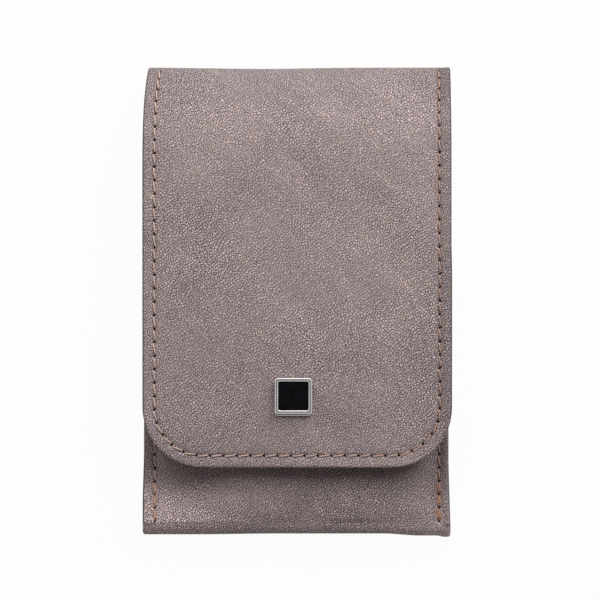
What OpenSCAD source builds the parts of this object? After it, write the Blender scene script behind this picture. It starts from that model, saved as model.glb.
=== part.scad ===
// A small leather manicure set case: a stitched pocket, a flap that rolls over its top and snaps
// shut under a square badge, and the five tools that stand in their loops inside.
// The case lies on its back, +Y towards the top roll and +Z towards the badge.

/* [Case] */
// Width across the flap
flap_w = 75.1; // [66:0.1:90]
// How far each side of the pocket is drawn in behind the flap's side
pocket_inset = 0.2; // [0:0.1:1]
// Length from the bottom fold to the top roll
case_l = 114; // [104:0.5:130]
// Height of the closed case at the flap's crown
case_h = 20; // [18.5:0.1:24]
// Length of pocket that shows below the flap's free edge
pocket_shown = 16.8; // [12:0.1:24]
// Radius of the flap's free corners
flap_r = 14.6; // [9:0.1:18]
// Length of the pocket from the bottom fold to its mouth
pocket_l = 65; // [58:0.5:72]

/* [Leather] */
// Thickness of the outer leather
leather_t = 1.3; // [0.9:0.05:1.6]
// Thickness of the lining
lining_t = 0.6; // [0.4:0.05:0.9]
// Thickness of the stiffener in the back
back_board_t = 0.8; // [0.5:0.05:1.2]
// Thickness of the stiffener in the flap
flap_board_t = 0.5; // [0.3:0.05:0.8]
// Distance from the edge of the leather to the edge of a stiffener
board_margin = 4.4; // [3.8:0.1:5.2]
// Gap between two layers
layer_gap = 0.05; // [0.03:0.01:0.1]

/* [Form] */
// Length of the upper roll, from the crown to the outermost line
roll_l = 21; // [18:0.5:25]
// Height of the outermost line of the roll
fold_h = 7; // [6:0.1:8.5]
// Length of the lower roll, from the outermost line to the flat back
lower_roll_l = 10; // [8:0.5:13]
// Fall of the flap from its crown to its free edge
flap_fall = 4.8; // [3:0.1:6]
// Fall of the flap from its middle to its sides
flap_sag = 1.8; // [1:0.1:6]
// Height of the pocket just above its bottom fold
pocket_low = 6.2; // [5.8:0.1:9]
// Length of the pocket's wedge, from the bottom fold to where the tools fill it out
wedge_l = 10; // [8:0.5:16]
// Depth of the bottom fold in the middle
fold_d = 3; // [2.7:0.1:5]
// How far the top roll draws in the left side
tuck_left = 1.4; // [0:0.1:2.5]
// How far the top roll draws in the right side
tuck_right = 0.4; // [0:0.1:2.5]
// How far the middle of the top roll bows in
top_bow = 0.2; // [0:0.1:1.5]
// How far the middle of the bottom fold bows in
bottom_bow = 0.8; // [0:0.1:1.5]

/* [Seams] */
// Distance from the edge to the seam
seam_inset = 2.9; // [2.4:0.1:4]
// Distance from the pocket's side seams to the foot of its swelling
seam_to_swell = 0.7; // [0.5:0.1:1.2]
// Distance from one stitch to the next
stitch_pitch = 3.3; // [2.6:0.1:5]
// Length of a stitch
stitch_l = 2.3; // [1.5:0.1:2.5]
// Thickness of the thread
thread_d = 0.7; // [0.4:0.05:1]

/* [Badge] */
// Width of the badge
badge_w = 9.05; // [7:0.05:12]
// Height of the badge's top plate
badge_plate_h = 8.75; // [7:0.05:12]
// How far the lower tier shows past the top plate's lower edge
badge_step = 0.5; // [0.2:0.1:1]
// Thickness of the badge's lower tier
badge_base_t = 0.9; // [0.6:0.1:1.5]
// Thickness of the badge's frame
badge_frame_t = 0.8; // [0.6:0.1:1.5]
// Width of the frame's border
badge_border = 0.85; // [0.5:0.05:1.5]
// Radius of the badge's corners
badge_r = 0.9; // [0.3:0.05:1.5]
// Sideways place of the badge and the snap
snap_x = -0.9; // [-4:0.1:4]
// Distance from the flap's free edge to the middle of the badge and the snap
snap_from_edge = 17.6; // [14:0.1:22]

/* [Snap] */
// Space between the flap's lining and the pocket at the snap
snap_space = 3.2; // [3.1:0.05:3.6]
// Diameter of the socket's flange
socket_d = 10; // [9:0.1:12]
// Diameter of the socket's rim
socket_rim_d = 7.4; // [7.2:0.1:8.6]
// Diameter of the stud's head
stud_d = 3.6; // [3:0.1:4]
// Room between the stud's head and the spring ring, all round
stud_play = 0.35; // [0.3:0.05:0.5]
// Diameter of the spring ring's wire
spring_wire = 0.5; // [0.4:0.05:0.6]
// Diameter of the stud's flange
stud_flange_d = 9; // [8:0.1:10]
// Thickness of the stud's flange
stud_flange_t = 0.5; // [0.4:0.05:0.7]
// Diameter of the head of the stud's rivet
stud_rivet_d = 7; // [6:0.1:8]
// Thickness of the head of the stud's rivet
stud_rivet_t = 0.6; // [0.4:0.05:0.8]
// Diameter of the two rivet posts
post_d = 2.6; // [2:0.1:3]
// Room round a rivet post in the leather, all round
post_play = 0.05; // [0.03:0.01:0.1]

/* [Tool band] */
// Height of the band, along the tools
band_h = 16; // [12:0.5:20]
// Distance from the pocket's mouth to the band's top edge
band_from_mouth = 10; // [7:0.5:14]
// Thickness of the band
band_t = 0.6; // [0.4:0.05:0.8]
// Room between a tool and its loop, all round
loop_play = 0.4; // [0.3:0.05:0.6]

/* [Tools] */
// Room from the foot of the pocket's swelling to the middle of the file and of the tweezers
side_tool_room = 7.3; // [6.8:0.05:7.8]
// Distance from the middle of a side tool to the middle of the next
tool_spacing = 10.2; // [9.6:0.1:11]
// Width of the file's blade
file_w = 5; // [4:0.1:5.4]
// Thickness of the file's blade
file_t = 1; // [0.8:0.05:1.2]
// Overall length of the file
file_l = 92; // [80:0.5:95]
// Width of the file's handle
handle_w = 6.8; // [5:0.1:7]
// Length of the file's handle
handle_l = 38; // [30:0.5:42]
// Thickness of the file's handle
handle_t = 3; // [2.4:0.1:4]
// Diameter of the pusher's and the nail cleaner's grip
grip_d = 3.4; // [2.6:0.1:3.8]
// Overall length of the pusher and of the nail cleaner
stick_l = 63; // [55:0.5:66]
// Width of the tweezers
tweezers_w = 5.6; // [5:0.1:6]
// Overall length of the tweezers
tweezers_l = 84; // [75:0.5:90]
// Thickness of one leg of the tweezers
leg_t = 0.9; // [0.7:0.05:1]
// How far the tips of the tweezers stand apart
tips_apart = 1.7; // [1.2:0.1:2]

/* [Scissors] */
// Overall length of the scissors
scissors_l = 86; // [78:0.5:90]
// Distance from the scissors' tip to their screw
blade_l = 41; // [36:0.5:44]
// Thickness of one half of the scissors
half_t = 1.6; // [1.3:0.05:1.9]
// Diameter of a finger ring, across the middle of its wire
ring_d = 15; // [14:0.1:15.5]
// Thickness of a finger ring
ring_t = 2.6; // [2:0.1:2.8]
// Diameter of the scissors' screw
screw_d = 2; // [1.6:0.1:2.6]
// Play of the screw in its bores, all round
screw_play = 0.05; // [0.03:0.01:0.1]
// Gap between the two blades
blade_gap = 0.1; // [0.05:0.01:0.2]

/* [Hidden] */

// Where the case's lines lie
top_y = case_l / 2;
bottom_y = -case_l / 2;
crown_y = top_y - roll_l;
flap_end_y = bottom_y + pocket_shown;
mouth_y = bottom_y + pocket_l;
flap_hw = flap_w / 2;
pocket_hw = flap_hw - pocket_inset;
seam_x = pocket_hw - seam_inset;
foot_x = seam_x - seam_to_swell;
// The angle on the upper roll at which the flap bends from the spine
flap_fold_a = 55;
tuck_run = 30;

// How deep each layer's two faces lie under the outer face of the leather
under = leather_t + layer_gap;
flap_lining_top = under + flap_board_t + layer_gap;
flap_t = flap_lining_top + lining_t;
back_lining_top = under + back_board_t + layer_gap;
back_t = back_lining_top + lining_t;
front_t = under + lining_t;
seam_t = back_t + layer_gap + front_t;

// The columns of the flap's and the body's sheets, as shares of the half width. The leather is thick
// at its edges, outside the board.
function both_sides(v) = concat(-v, [for (i = [len(v) - 2:-1:0]) v[i]]);
flap_board_u = 1 - board_margin / flap_hw;
back_board_u = 1 - board_margin / pocket_hw;
FLAP_U = both_sides([1, 0.965, flap_board_u + 0.035, flap_board_u, 0.76, 0.56, 0.36, 0.16, 0]);
BODY_U = both_sides([1, 0.955, foot_x / pocket_hw, back_board_u, 0.76, 0.58, 0.3, 0]);

function unit(v) = v / norm(v);
function mix(a, b, t) = a + (b - a) * t;
function sag(x) = flap_sag * pow(min(1, abs(x) / flap_hw), 2.5);
function fold_y(x) = top_y - top_bow * (1 - pow(min(1, abs(x) / flap_hw), 6));
function bottom_line(x) = bottom_y + bottom_bow * (1 - pow(min(1, abs(x) / pocket_hw), 8));
function tuck(u) = u < 0 ? tuck_left : tuck_right;

// The flap's outer face, its half width at each y, and a point at a depth under it
function flap_z(x, y) = y < crown_y
    ? case_h - sag(x) - flap_fall * pow((crown_y - y) / (crown_y - flap_end_y), 2)
    : fold_h + (case_h - sag(x) - fold_h) * arch((y - crown_y) / (fold_y(x) - crown_y));
function arch(t) = sqrt(max(0, 1 - t * t));
function corner_cut(d) = d < flap_r ? flap_r * (1 - arch(1 - d / flap_r)) : 0;
function flap_half(u, y) =
    flap_hw - corner_cut(y - flap_end_y) - tuck(u) * pow(max(0, y - top_y + tuck_run) / tuck_run, 4);
function normal_at(fx, fy) = unit([-fx, -fy, 1]);
probe = 0.1;
function flap_normal(x, y) = normal_at((flap_z(x + probe, y) - flap_z(x - probe, y)) / (2 * probe),
    (flap_z(x, y + probe) - flap_z(x, y - probe)) / (2 * probe));
function on_flap(x, y, depth = 0) = [x, y, flap_z(x, y)] - depth * flap_normal(x, y);

// A point on the upper roll at angle a from the outermost line, and one on the lower roll
function roll_point(u, a, depth) =
    let (y = crown_y + roll_l * cos(a), x = u * flap_half(u, y), reach = fold_y(x) - crown_y)
    [x, crown_y + (reach - depth) * cos(a), fold_h + (case_h - sag(x) - fold_h - depth) * sin(a)];
function lower_point(u, a, depth) =
    let (half = mix(pocket_hw, flap_half(u, top_y), cos(a)), x = u * half, c = fold_y(x) - lower_roll_l)
    [x, c + (lower_roll_l - depth) * cos(a), fold_h - (fold_h - depth) * sin(a)];

// The pocket's outer face: a pillow between its side seams
snap_y = flap_end_y + snap_from_edge;
front_y0 = bottom_y + bottom_bow + fold_d;
snap_pocket_z = flap_z(snap_x, snap_y) - flap_t - snap_space;
function crown_line(y) =
    let (d = y - front_y0, wedge = 1 - pow(max(0, 1 - d / wedge_l), 1.6))
    pocket_low + (snap_pocket_z - pocket_low) * (wedge + d / (snap_y - front_y0)) / 2;
function pillow(x) = 1 - pow(min(1, abs(x) / foot_x), 7);
function front_z(x, y) = seam_t + (crown_line(y) - seam_t) * pillow(x);
function front_normal(x, y) = normal_at((front_z(x + probe, y) - front_z(x - probe, y)) / (2 * probe),
    (front_z(x, y + probe) - front_z(x, y - probe)) / (2 * probe));
function on_front(x, y, depth = 0) = [x, y, front_z(x, y)] - depth * front_normal(x, y);
function fold_depth(x) = mix(seam_t / 2 + 0.3, fold_d, pillow(x));
function fold_centre(x) = bottom_line(x) + fold_depth(x);
// A point of the bottom fold, from the back at -90 degrees to the pocket's front at 90
function fold_point(u, a, back, front) =
    let (x = u * pocket_hw, h = front_z(x, fold_centre(x)), mid = (back + front) / 2)
    [x, fold_centre(x) - (fold_depth(x) - mid) * cos(a),
     (back + h - front) / 2 + (h - front - back) / 2 * sin(a)];

// The rows of each sheet: the rolls and folds take most of them
FLAP_ROWS = concat(
    [for (d = [0, 0.6, 1.8, board_margin - 1.2, board_margin]) flap_end_y + d],
    [for (t = [0.25, 0.55, 1]) mix(flap_end_y + board_margin, flap_end_y + flap_r, t)],
    [for (t = [0:0.25:1]) mix(snap_y + 6, crown_y, t)]);
BOARD_ROWS = [for (y = FLAP_ROWS) if (y > flap_end_y + board_margin - 0.01) y];
BOARD_U = [for (u = FLAP_U) if (abs(u) < flap_board_u + 0.001) u];
FLAP_ROLL = [82:-9:flap_fold_a];
SPINE_ROLL = [flap_fold_a:-11:0];
LOWER_ROLL = [0:18:90];
FOLD = [-90:22.5:90];
FRONT = [0.04, 0.08, 0.12, 0.165, 0.3, 0.48, 0.66, 0.83, 1];

// One closed solid between two grids of points of the same size
module sheet(outer, inner) {
    nc = len(outer[0]);
    nr = len(outer);
    n = nr * nc;
    polyhedron(
        points = [for (g = [outer, inner]) for (row = g) for (p = row) p],
        faces = concat(
            [for (j = [0:nr - 2], i = [0:nc - 2]) let (a = j * nc + i, b = a + 1, d = a + nc, c = d + 1)
                each [[a, c, b], [a, d, c], [n + a, n + b, n + c], [n + a, n + c, n + d]]],
            [for (i = [0:nc - 2]) let (d = (nr - 1) * nc + i)
                each [[i, i + 1, n + i + 1], [i, n + i + 1, n + i],
                      [d + 1, d, n + d], [d + 1, n + d, n + d + 1]]],
            [for (j = [0:nr - 2]) let (a = j * nc, d = a + nc, b = a + nc - 1, c = b + nc)
                each [[d, a, n + a], [d, n + a, n + d], [b, c, n + c], [b, n + c, n + b]]]));
}

// A round bar between two points
module bar(p, q, d) {
    v = q - p;
    translate(p) rotate([0, acos(v[2] / norm(v)), atan2(v[1], v[0])])
        cylinder(d = d, h = norm(v), $fn = 24);
}

// Where the snap stands: its origin is on the flap's outer face, its z axis square to the flap
module at_snap() {
    n = flap_normal(snap_x, snap_y);
    translate(on_flap(snap_x, snap_y)) rotate([-atan2(n[1], n[2]), 0, 0]) children();
}
// The pocket's face under the snap, and the seats of the stud over it and of its rivet's head inside
pocket_at_snap = -(flap_t + snap_space) * cos(5);
stud_seat = pocket_at_snap + 0.12;

// ---- The body: pocket front, bottom fold, back and lower roll in one strip ----

// One face of a layer of the body. Its depth differs at the back, at the back's edges and in front.
function body_face(back, edge, front, at_fold) = concat(
    [for (a = LOWER_ROLL) [for (u = BODY_U)
        lower_point(u, a, mix(at_fold, at_back(u, back, edge), a / 90))]],
    [for (t = [0.33, 0.67]) [for (u = BODY_U)
        let (x = u * pocket_hw, y1 = lower_point(u, 90, 0)[1])
        [x, mix(y1, fold_centre(x), t), at_back(u, back, edge)]]],
    [for (a = FOLD) [for (u = BODY_U) fold_point(u, a, at_back(u, back, edge), front)]],
    [for (t = FRONT) [for (u = BODY_U)
        let (x = u * pocket_hw) on_front(x, mix(fold_centre(x), mouth_y, t), front)]]);
function at_back(u, back, edge) = abs(u) < back_board_u + 0.001 ? back : edge;

module body_leather() {
    color("rosybrown") difference() {
        sheet(body_face(0, 0, 0, 0),
            body_face(leather_t, back_lining_top - layer_gap, leather_t, leather_t));
        stud_bore();
    }
}

module body_lining() {
    color("dimgray") difference() {
        sheet(body_face(back_lining_top, back_lining_top, under, under),
            body_face(back_t, back_t, front_t, front_t));
        stud_bore();
    }
}

module stud_bore() {
    at_snap() translate([0, 0, stud_seat - 6]) cylinder(d = post_d + 2 * post_play, h = 9, $fn = 32);
}

module back_board() {
    y0 = bottom_y + bottom_bow + fold_d + 1;
    y1 = top_y - top_bow - lower_roll_l - 1;
    color("burlywood") translate([board_margin - pocket_hw, y0, under])
        cube([2 * (pocket_hw - board_margin), y1 - y0, back_board_t]);
}

// ---- The spine: the part of the roll between the two folds ----

function spine_face(at_fold, at_flap) =
    [for (a = SPINE_ROLL) [for (u = FLAP_U) roll_point(u, a, mix(at_fold, at_flap, a / flap_fold_a))]];

module spine_leather() {
    color("rosybrown") sheet(spine_face(0, 0), spine_face(leather_t, flap_lining_top - layer_gap));
}

module spine_lining() {
    color("dimgray") sheet(spine_face(under, flap_lining_top), spine_face(front_t, flap_t));
}

// ---- The flap ----

// One face of a layer of the flap. At the flap's edges its depth is edge_depth.
function flap_face(depth, edge_depth) = concat(
    [for (y = FLAP_ROWS) [for (u = FLAP_U) on_flap(u * flap_half(u, y), y,
        abs(u) > flap_board_u + 0.001 || y < flap_end_y + board_margin - 0.01 ? edge_depth : depth)]],
    [for (a = FLAP_ROLL) [for (u = FLAP_U) roll_point(u, a, mix(edge_depth,
        abs(u) > flap_board_u + 0.001 ? edge_depth : depth, (a - flap_fold_a) / (90 - flap_fold_a)))]]);

module flap_bore() {
    at_snap() translate([0, 0, -5]) cylinder(d = post_d + 2 * post_play, h = 8, $fn = 32);
}

module flap_leather() {
    color("rosybrown") difference() {
        sheet(flap_face(0, 0), flap_face(leather_t, flap_lining_top - layer_gap));
        flap_bore();
    }
}

module flap_lining() {
    color("dimgray") difference() {
        sheet(flap_face(flap_lining_top, flap_lining_top), flap_face(flap_t, flap_t));
        flap_bore();
    }
}

module flap_board() {
    color("burlywood") difference() {
        sheet(board_face(under), board_face(under + flap_board_t));
        flap_bore();
    }
}

function board_face(depth) =
    [for (y = BOARD_ROWS) [for (u = BOARD_U) on_flap(u * flap_half(u, y), y, depth)]];

// ---- Stitches: one short bar each, lying on the leather along its seam ----

stitch_lift = thread_d / 2 + 0.08;
function steps(length) = max(1, round(length / stitch_pitch));
function flap_seam_x(side, y) = side * (flap_half(side, y) - seam_inset);

module flap_stitching() {
    color("tan") {
        // The two sides, from the corner up to the fold of the flap
        y0 = flap_end_y + flap_r;
        y1 = crown_y + roll_l * cos(flap_fold_a) - 1;
        n = steps(y1 - y0);
        for (side = [-1, 1], k = [0:n - 1])
            let (y = y0 + (k + 0.5) * (y1 - y0) / n)
            bar(on_flap(flap_seam_x(side, y - stitch_l / 2), y - stitch_l / 2, -stitch_lift),
                on_flap(flap_seam_x(side, y + stitch_l / 2), y + stitch_l / 2, -stitch_lift), thread_d);
        // The two corners
        r = flap_r - seam_inset;
        m = steps(r * PI / 2);
        da = stitch_l / 2 / r * 180 / PI;
        for (side = [-1, 1], k = [0:m - 1])
            let (a = (k + 0.5) * 90 / m, c = [side * (flap_hw - flap_r), y0],
                 p = c + r * [side * cos(a - da), -sin(a - da)],
                 q = c + r * [side * cos(a + da), -sin(a + da)])
            bar(on_flap(p[0], p[1], -stitch_lift), on_flap(q[0], q[1], -stitch_lift), thread_d);
        // The free edge
        w = flap_hw - flap_r;
        e = steps(2 * w);
        for (k = [0:e - 1])
            let (x = -w + (k + 0.5) * 2 * w / e, y = flap_end_y + seam_inset)
            bar(on_flap(x - stitch_l / 2, y, -stitch_lift),
                on_flap(x + stitch_l / 2, y, -stitch_lift), thread_d);
    }
}

module spine_stitching() {
    b = case_h - flap_sag - fold_h;
    arc = 0.5 * (roll_l + b) * flap_fold_a * PI / 180;
    n = steps(arc);
    da = stitch_l / 2 / arc * flap_fold_a;
    color("tan") for (side = [-1, 1], k = [0:n - 1])
        let (a = (k + 0.5) * flap_fold_a / n, u = side * (1 - seam_inset / flap_hw))
        bar(roll_point(u, a - da, -stitch_lift), roll_point(u, a + da, -stitch_lift), thread_d);
}

module pocket_stitching() {
    y0 = bottom_y + bottom_bow + seam_inset;
    n = steps(mouth_y - y0);
    w = seam_x - 2;
    m = steps(2 * w);
    color("tan") {
        for (side = [-1, 1], k = [0:n - 1])
            let (y = y0 + (k + 0.5) * (mouth_y - y0) / n)
            bar([side * seam_x, y - stitch_l / 2, seam_t + stitch_lift],
                [side * seam_x, y + stitch_l / 2, seam_t + stitch_lift], thread_d);
        for (k = [0:m - 1])
            let (x = -w + (k + 0.5) * 2 * w / m, y = mouth_y - seam_inset)
            bar(on_front(x - stitch_l / 2, y, -stitch_lift),
                on_front(x + stitch_l / 2, y, -stitch_lift), thread_d);
    }
}

// ---- The badge, which is the cap of the snap ----

// A rectangle with round corners
module rounded(w, h, r) {
    square([w - 2 * r, h], center = true);
    square([w, h - 2 * r], center = true);
    for (sx = [-1, 1], sy = [-1, 1])
        translate([sx * (w / 2 - r), sy * (h / 2 - r)]) circle(r = r, $fn = 32);
}
seat_gap = 0.05;
badge_plate_z = seat_gap + badge_base_t + seat_gap;
socket_top = -flap_t - 2.4 * seat_gap;
socket_h = snap_space - 0.95;
socket_floor = 0.6;
rivet_head_t = 0.3;

module badge_base() {
    color("silver") at_snap() {
        translate([0, -badge_step / 2, seat_gap])
            linear_extrude(badge_base_t) rounded(badge_w, badge_plate_h + badge_step, badge_r);
        // The post through the flap, and its head clenched inside the socket
        translate([0, 0, socket_top - socket_floor - 0.01])
            cylinder(d = post_d, h = seat_gap + 0.1 - socket_top + socket_floor, $fn = 32);
        translate([0, 0, socket_top - socket_floor - 0.01 - rivet_head_t])
            cylinder(d = post_d + 0.8, h = rivet_head_t, $fn = 32);
    }
}

module badge_frame() {
    color("silver") at_snap() translate([0, 0, badge_plate_z]) linear_extrude(badge_frame_t) difference() {
        rounded(badge_w, badge_plate_h, badge_r);
        rounded(badge_w - 2 * badge_border, badge_plate_h - 2 * badge_border, badge_r / 2);
    }
}

module badge_inlay() {
    inset = badge_border + 0.03;
    color("black") at_snap() translate([0, 0, badge_plate_z]) linear_extrude(badge_frame_t - 0.25)
        rounded(badge_w - 2 * inset, badge_plate_h - 2 * inset, badge_r / 2);
}

// ---- The snap: a socket with its spring ring on the flap, a stud on the pocket ----

mouth_r = stud_d / 2 + stud_play;
groove_r = mouth_r + spring_wire + 0.03;
ring_z = socket_top - socket_h + 0.25 + spring_wire / 2;

module snap_socket() {
    color("silver") at_snap() difference() {
        union() {
            translate([0, 0, socket_top - socket_floor]) cylinder(d = socket_d, h = socket_floor, $fn = 64);
            translate([0, 0, socket_top - socket_h]) cylinder(d = socket_rim_d, h = socket_h, $fn = 64);
        }
        translate([0, 0, socket_top - 1]) cylinder(d = post_d + 2 * post_play, h = 2, $fn = 32);
        translate([0, 0, socket_top - socket_h - 1])
            cylinder(r = mouth_r, h = socket_h - socket_floor + 1, $fn = 48);
        translate([0, 0, ring_z - spring_wire / 2 - 0.02])
            cylinder(r = groove_r, h = spring_wire + 0.04, $fn = 48);
    }
}

module snap_spring() {
    color("gainsboro") at_snap() translate([0, 0, ring_z]) rotate([0, 0, 110])
        rotate_extrude(angle = 320, $fn = 64) translate([mouth_r + spring_wire / 2, 0])
            circle(d = spring_wire, $fn = 20);
}

stud_top = socket_top - socket_floor - rivet_head_t - 0.2;
spigot_d = 1.5;

module snap_stud() {
    h = stud_top - stud_seat;
    neck = stud_d / 2 - 0.5;
    color("silver") at_snap() translate([0, 0, stud_seat]) rotate_extrude($fn = 48)
        polygon([[spigot_d / 2 + 0.03, 0], [stud_flange_d / 2 - 0.2, 0],
                 [stud_flange_d / 2, stud_flange_t / 2], [stud_flange_d / 2 - 0.3, stud_flange_t],
                 [neck + 0.2, stud_flange_t + 0.05], [neck, stud_flange_t + 0.25], [neck, h - 0.75],
                 [stud_d / 2, h - 0.5], [stud_d / 2, h - 0.25], [stud_d / 2 - 0.25, h],
                 [spigot_d / 2 + 0.03, h]]);
}

module stud_rivet() {
    head_z = pocket_at_snap - front_t - 0.15;
    color("silver") at_snap() {
        translate([0, 0, head_z - stud_rivet_t]) cylinder(d = stud_rivet_d, h = stud_rivet_t, $fn = 48);
        translate([0, 0, head_z - 0.1]) cylinder(d = post_d, h = stud_seat - head_z + 0.05, $fn = 32);
        translate([0, 0, head_z]) cylinder(d = spigot_d, h = stud_top - head_z - 0.1, $fn = 32);
    }
}

// ---- The tools, standing in their loops on the back ----

outer_tool_x = foot_x - side_tool_room;
inner_tool_x = outer_tool_x - tool_spacing;
tool_z = back_t + layer_gap;
tool_foot_y = bottom_y + 7;

// A smooth curve through [x, y, half width] points, and the outline of a ribbon along it
function curve(p, n = 4) = concat(
    [for (i = [0:len(p) - 2], k = [0:n - 1])
        let (a = p[max(0, i - 1)], b = p[i], c = p[i + 1], d = p[min(len(p) - 1, i + 2)], t = k / n)
        0.5 * (2 * b + (c - a) * t + (2 * a - 5 * b + 4 * c - d) * pow(t, 2)
            + (3 * b - a - 3 * c + d) * pow(t, 3))],
    [p[len(p) - 1]]);
function across(c, i) =
    let (d = c[min(len(c) - 1, i + 1)] - c[max(0, i - 1)]) unit([-d[1], d[0]]);
function ribbon(c) = concat(
    [for (i = [0:len(c) - 1]) [c[i][0], c[i][1]] + c[i][2] * across(c, i)],
    [for (i = [len(c) - 1:-1:0]) [c[i][0], c[i][1]] - c[i][2] * across(c, i)]);

module file_blade() {
    y1 = tool_foot_y + file_l - handle_l + 4;
    color("silver") translate([-outer_tool_x, 0, tool_z]) linear_extrude(file_t)
        polygon(ribbon(curve(
            [for (p = [[0, 0.06], [0.07, 0.3], [0.28, 0.5], [0.79, 0.5], [0.91, 0.34], [1, 0.34]])
                [0, mix(tool_foot_y, y1, p[0]), file_w * p[1]]])));
}

module file_handle() {
    y0 = tool_foot_y + file_l - handle_l;
    y1 = tool_foot_y + file_l;
    color("black") translate([-outer_tool_x, 0, 0]) difference() {
        intersection() {
            translate([0, 0, tool_z]) linear_extrude(handle_t)
                polygon(ribbon(curve(
                    [for (p = [[0, 0.38], [0.21, 0.43], [0.74, 0.5], [0.95, 0.4], [1, 0.12]])
                        [0, mix(y0, y1, p[0]), handle_w * p[1]]])));
            rotate([90, 0, 0]) translate([0, 0, -y1]) linear_extrude(handle_l)
                translate([0, tool_z + handle_t / 2]) rounded(handle_w, handle_t, handle_t * 0.3);
        }
        // The slot that the blade's tang fills
        translate([-file_w * 0.38, y0 - 1, tool_z - 1]) cube([file_w * 0.76, 5.1, file_t + 1.05]);
    }
}

// A turned grip with two necks, and a flat working end. Each point of the end's outline gives its
// distance from the end as a share of the length, and its half width as a share of the grip's radius.
module stick(x, tip) {
    r = grip_d / 2;
    y1 = tool_foot_y + stick_l;
    translate([x, tool_foot_y, tool_z + r]) rotate([-90, 0, 0]) rotate_extrude($fn = 32)
        polygon([for (p = [[0, 0], [0.2, 0.016], [0.47, 0.13], [0.53, 0.19], [0.8, 0.24], [1, 0.286],
                           [1, 0.73], [0.8, 0.78], [0.47, 0.825], [0.41, 0.89], [0, 0.89]])
            [r * p[0], stick_l * p[1]]]);
    translate([x, y1, tool_z + 0.74 * r]) linear_extrude(0.52 * r)
        polygon(ribbon(curve([for (p = tip) [0, -stick_l * p[0], r * p[1]]])));
}

module cuticle_pusher() {
    color("silver")
        stick(-inner_tool_x, [[0.143, 0.35], [0.095, 0.94], [0.048, 1.24], [0.013, 1.12], [0, 0.7]]);
}

module nail_cleaner() {
    color("silver")
        stick(inner_tool_x, [[0.143, 0.35], [0.095, 0.76], [0.048, 0.65], [0, 0.18]]);
}

tweezers_y = bottom_y + 11;
tweezers_base_l = 6;
leg_gap = 0.1;
leg_root_y = tweezers_y + tweezers_base_l + 0.3;
leg_angle = atan(tips_apart / (tweezers_l - tweezers_base_l));

function leg_outline(y0) = ribbon(curve(concat([[0, y0, tweezers_w * 0.42]],
    [for (p = [[0.19, 0.5], [0.5, 0.5], [0.76, 0.36], [0.9, 0.2], [1, 0.12]])
        [0, tweezers_y + tweezers_l * p[0], tweezers_w * p[1]]])));

module tweezers_leg_lower() {
    color("silver") translate([outer_tool_x, 0, tool_z]) {
        linear_extrude(leg_t) polygon(leg_outline(tweezers_y));
        translate([-tweezers_w * 0.4, tweezers_y, 0])
            cube([tweezers_w * 0.8, tweezers_base_l, 2 * leg_t + leg_gap]);
    }
}

module tweezers_leg_upper() {
    color("silver") translate([outer_tool_x, leg_root_y, tool_z + leg_t + leg_gap])
        rotate([leg_angle, 0, 0]) linear_extrude(leg_t)
            translate([0, -leg_root_y]) polygon(leg_outline(leg_root_y));
}

// ---- The scissors: two halves on one screw ----

scissors_y = bottom_y + 11 + blade_l;
scissors_z = back_t + 0.3;
ring_y = scissors_l - blade_l - ring_d / 2 - ring_t / 2;
ring_x = ring_d / 2 + ring_t / 2 + 0.5;
bore_r = screw_d / 2 + screw_play;
head_t = 0.7;
halves_t = 2 * half_t + blade_gap;

// One half about its screw: blade, shank and finger ring
module scissors_half(ring_z) {
    difference() {
        union() {
            linear_extrude(half_t) difference() {
                polygon(ribbon(curve([[-ring_x * 0.8, ring_y - ring_d * 0.5, 1.3],
                    [-ring_x * 0.54, ring_y * 0.42, 1.8], [-1.6, ring_y * 0.14, 2.6], [0, 0, 3.6],
                    [0.4, -blade_l * 0.17, 3.2], [0.3, -blade_l * 0.54, 2.5], [-0.4, -blade_l * 0.88, 1.1],
                    [-0.8, -blade_l, 0.15]])));
                translate([-ring_x, ring_y]) circle(d = ring_d, $fn = 48);
            }
            translate([-ring_x, ring_y, ring_z]) rotate_extrude($fn = 64)
                translate([ring_d / 2, 0]) circle(d = ring_t, $fn = 24);
        }
        translate([0, 0, -5]) cylinder(r = bore_r, h = 12, $fn = 32);
    }
}

module scissors_half_lower() {
    color("silver") translate([0, scissors_y, scissors_z]) scissors_half(halves_t / 2);
}

module scissors_half_upper() {
    color("silver") translate([0, scissors_y, scissors_z + half_t + blade_gap]) mirror([1, 0, 0])
        scissors_half(half_t - halves_t / 2);
}

module scissors_screw() {
    color("goldenrod") translate([0, scissors_y, scissors_z]) difference() {
        union() {
            cylinder(d = screw_d, h = halves_t + 0.1, $fn = 32);
            translate([0, 0, halves_t + 0.05]) cylinder(d = screw_d + 2.2, h = head_t, $fn = 32);
        }
        translate([-3, -0.25, halves_t + 0.05 + head_t * 0.6]) cube([6, 0.5, 1]);
    }
}

// ---- The band that holds the tools: a strip with a loop over each of them ----

band_y1 = mouth_y - band_from_mouth;
scissors_top = scissors_z + halves_t + 0.05 + head_t;
// Each loop's middle, half width and height over the back lining
LOOPS = [
    [-outer_tool_x, file_w / 2 + loop_play, file_t + layer_gap + loop_play],
    [-inner_tool_x, grip_d / 2 + loop_play, grip_d + layer_gap + loop_play],
    [0, 8.8, scissors_top - back_t + loop_play],
    [inner_tool_x, grip_d / 2 + loop_play, grip_d + layer_gap + loop_play],
    [outer_tool_x, tweezers_w / 2 + loop_play,
        2 * leg_t + leg_gap + (band_y1 - leg_root_y) * tan(leg_angle) + layer_gap + loop_play]];
band_end = seam_x - 2.2;
function power(v, e) = sign(v) * pow(abs(v), e);
BAND = concat([[-band_end, 0]],
    [for (l = LOOPS, a = [180:-15:0]) [l[0] + l[1] * power(cos(a), 0.38), l[2] * power(sin(a), 0.38)]],
    [[band_end, 0]]);

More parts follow.
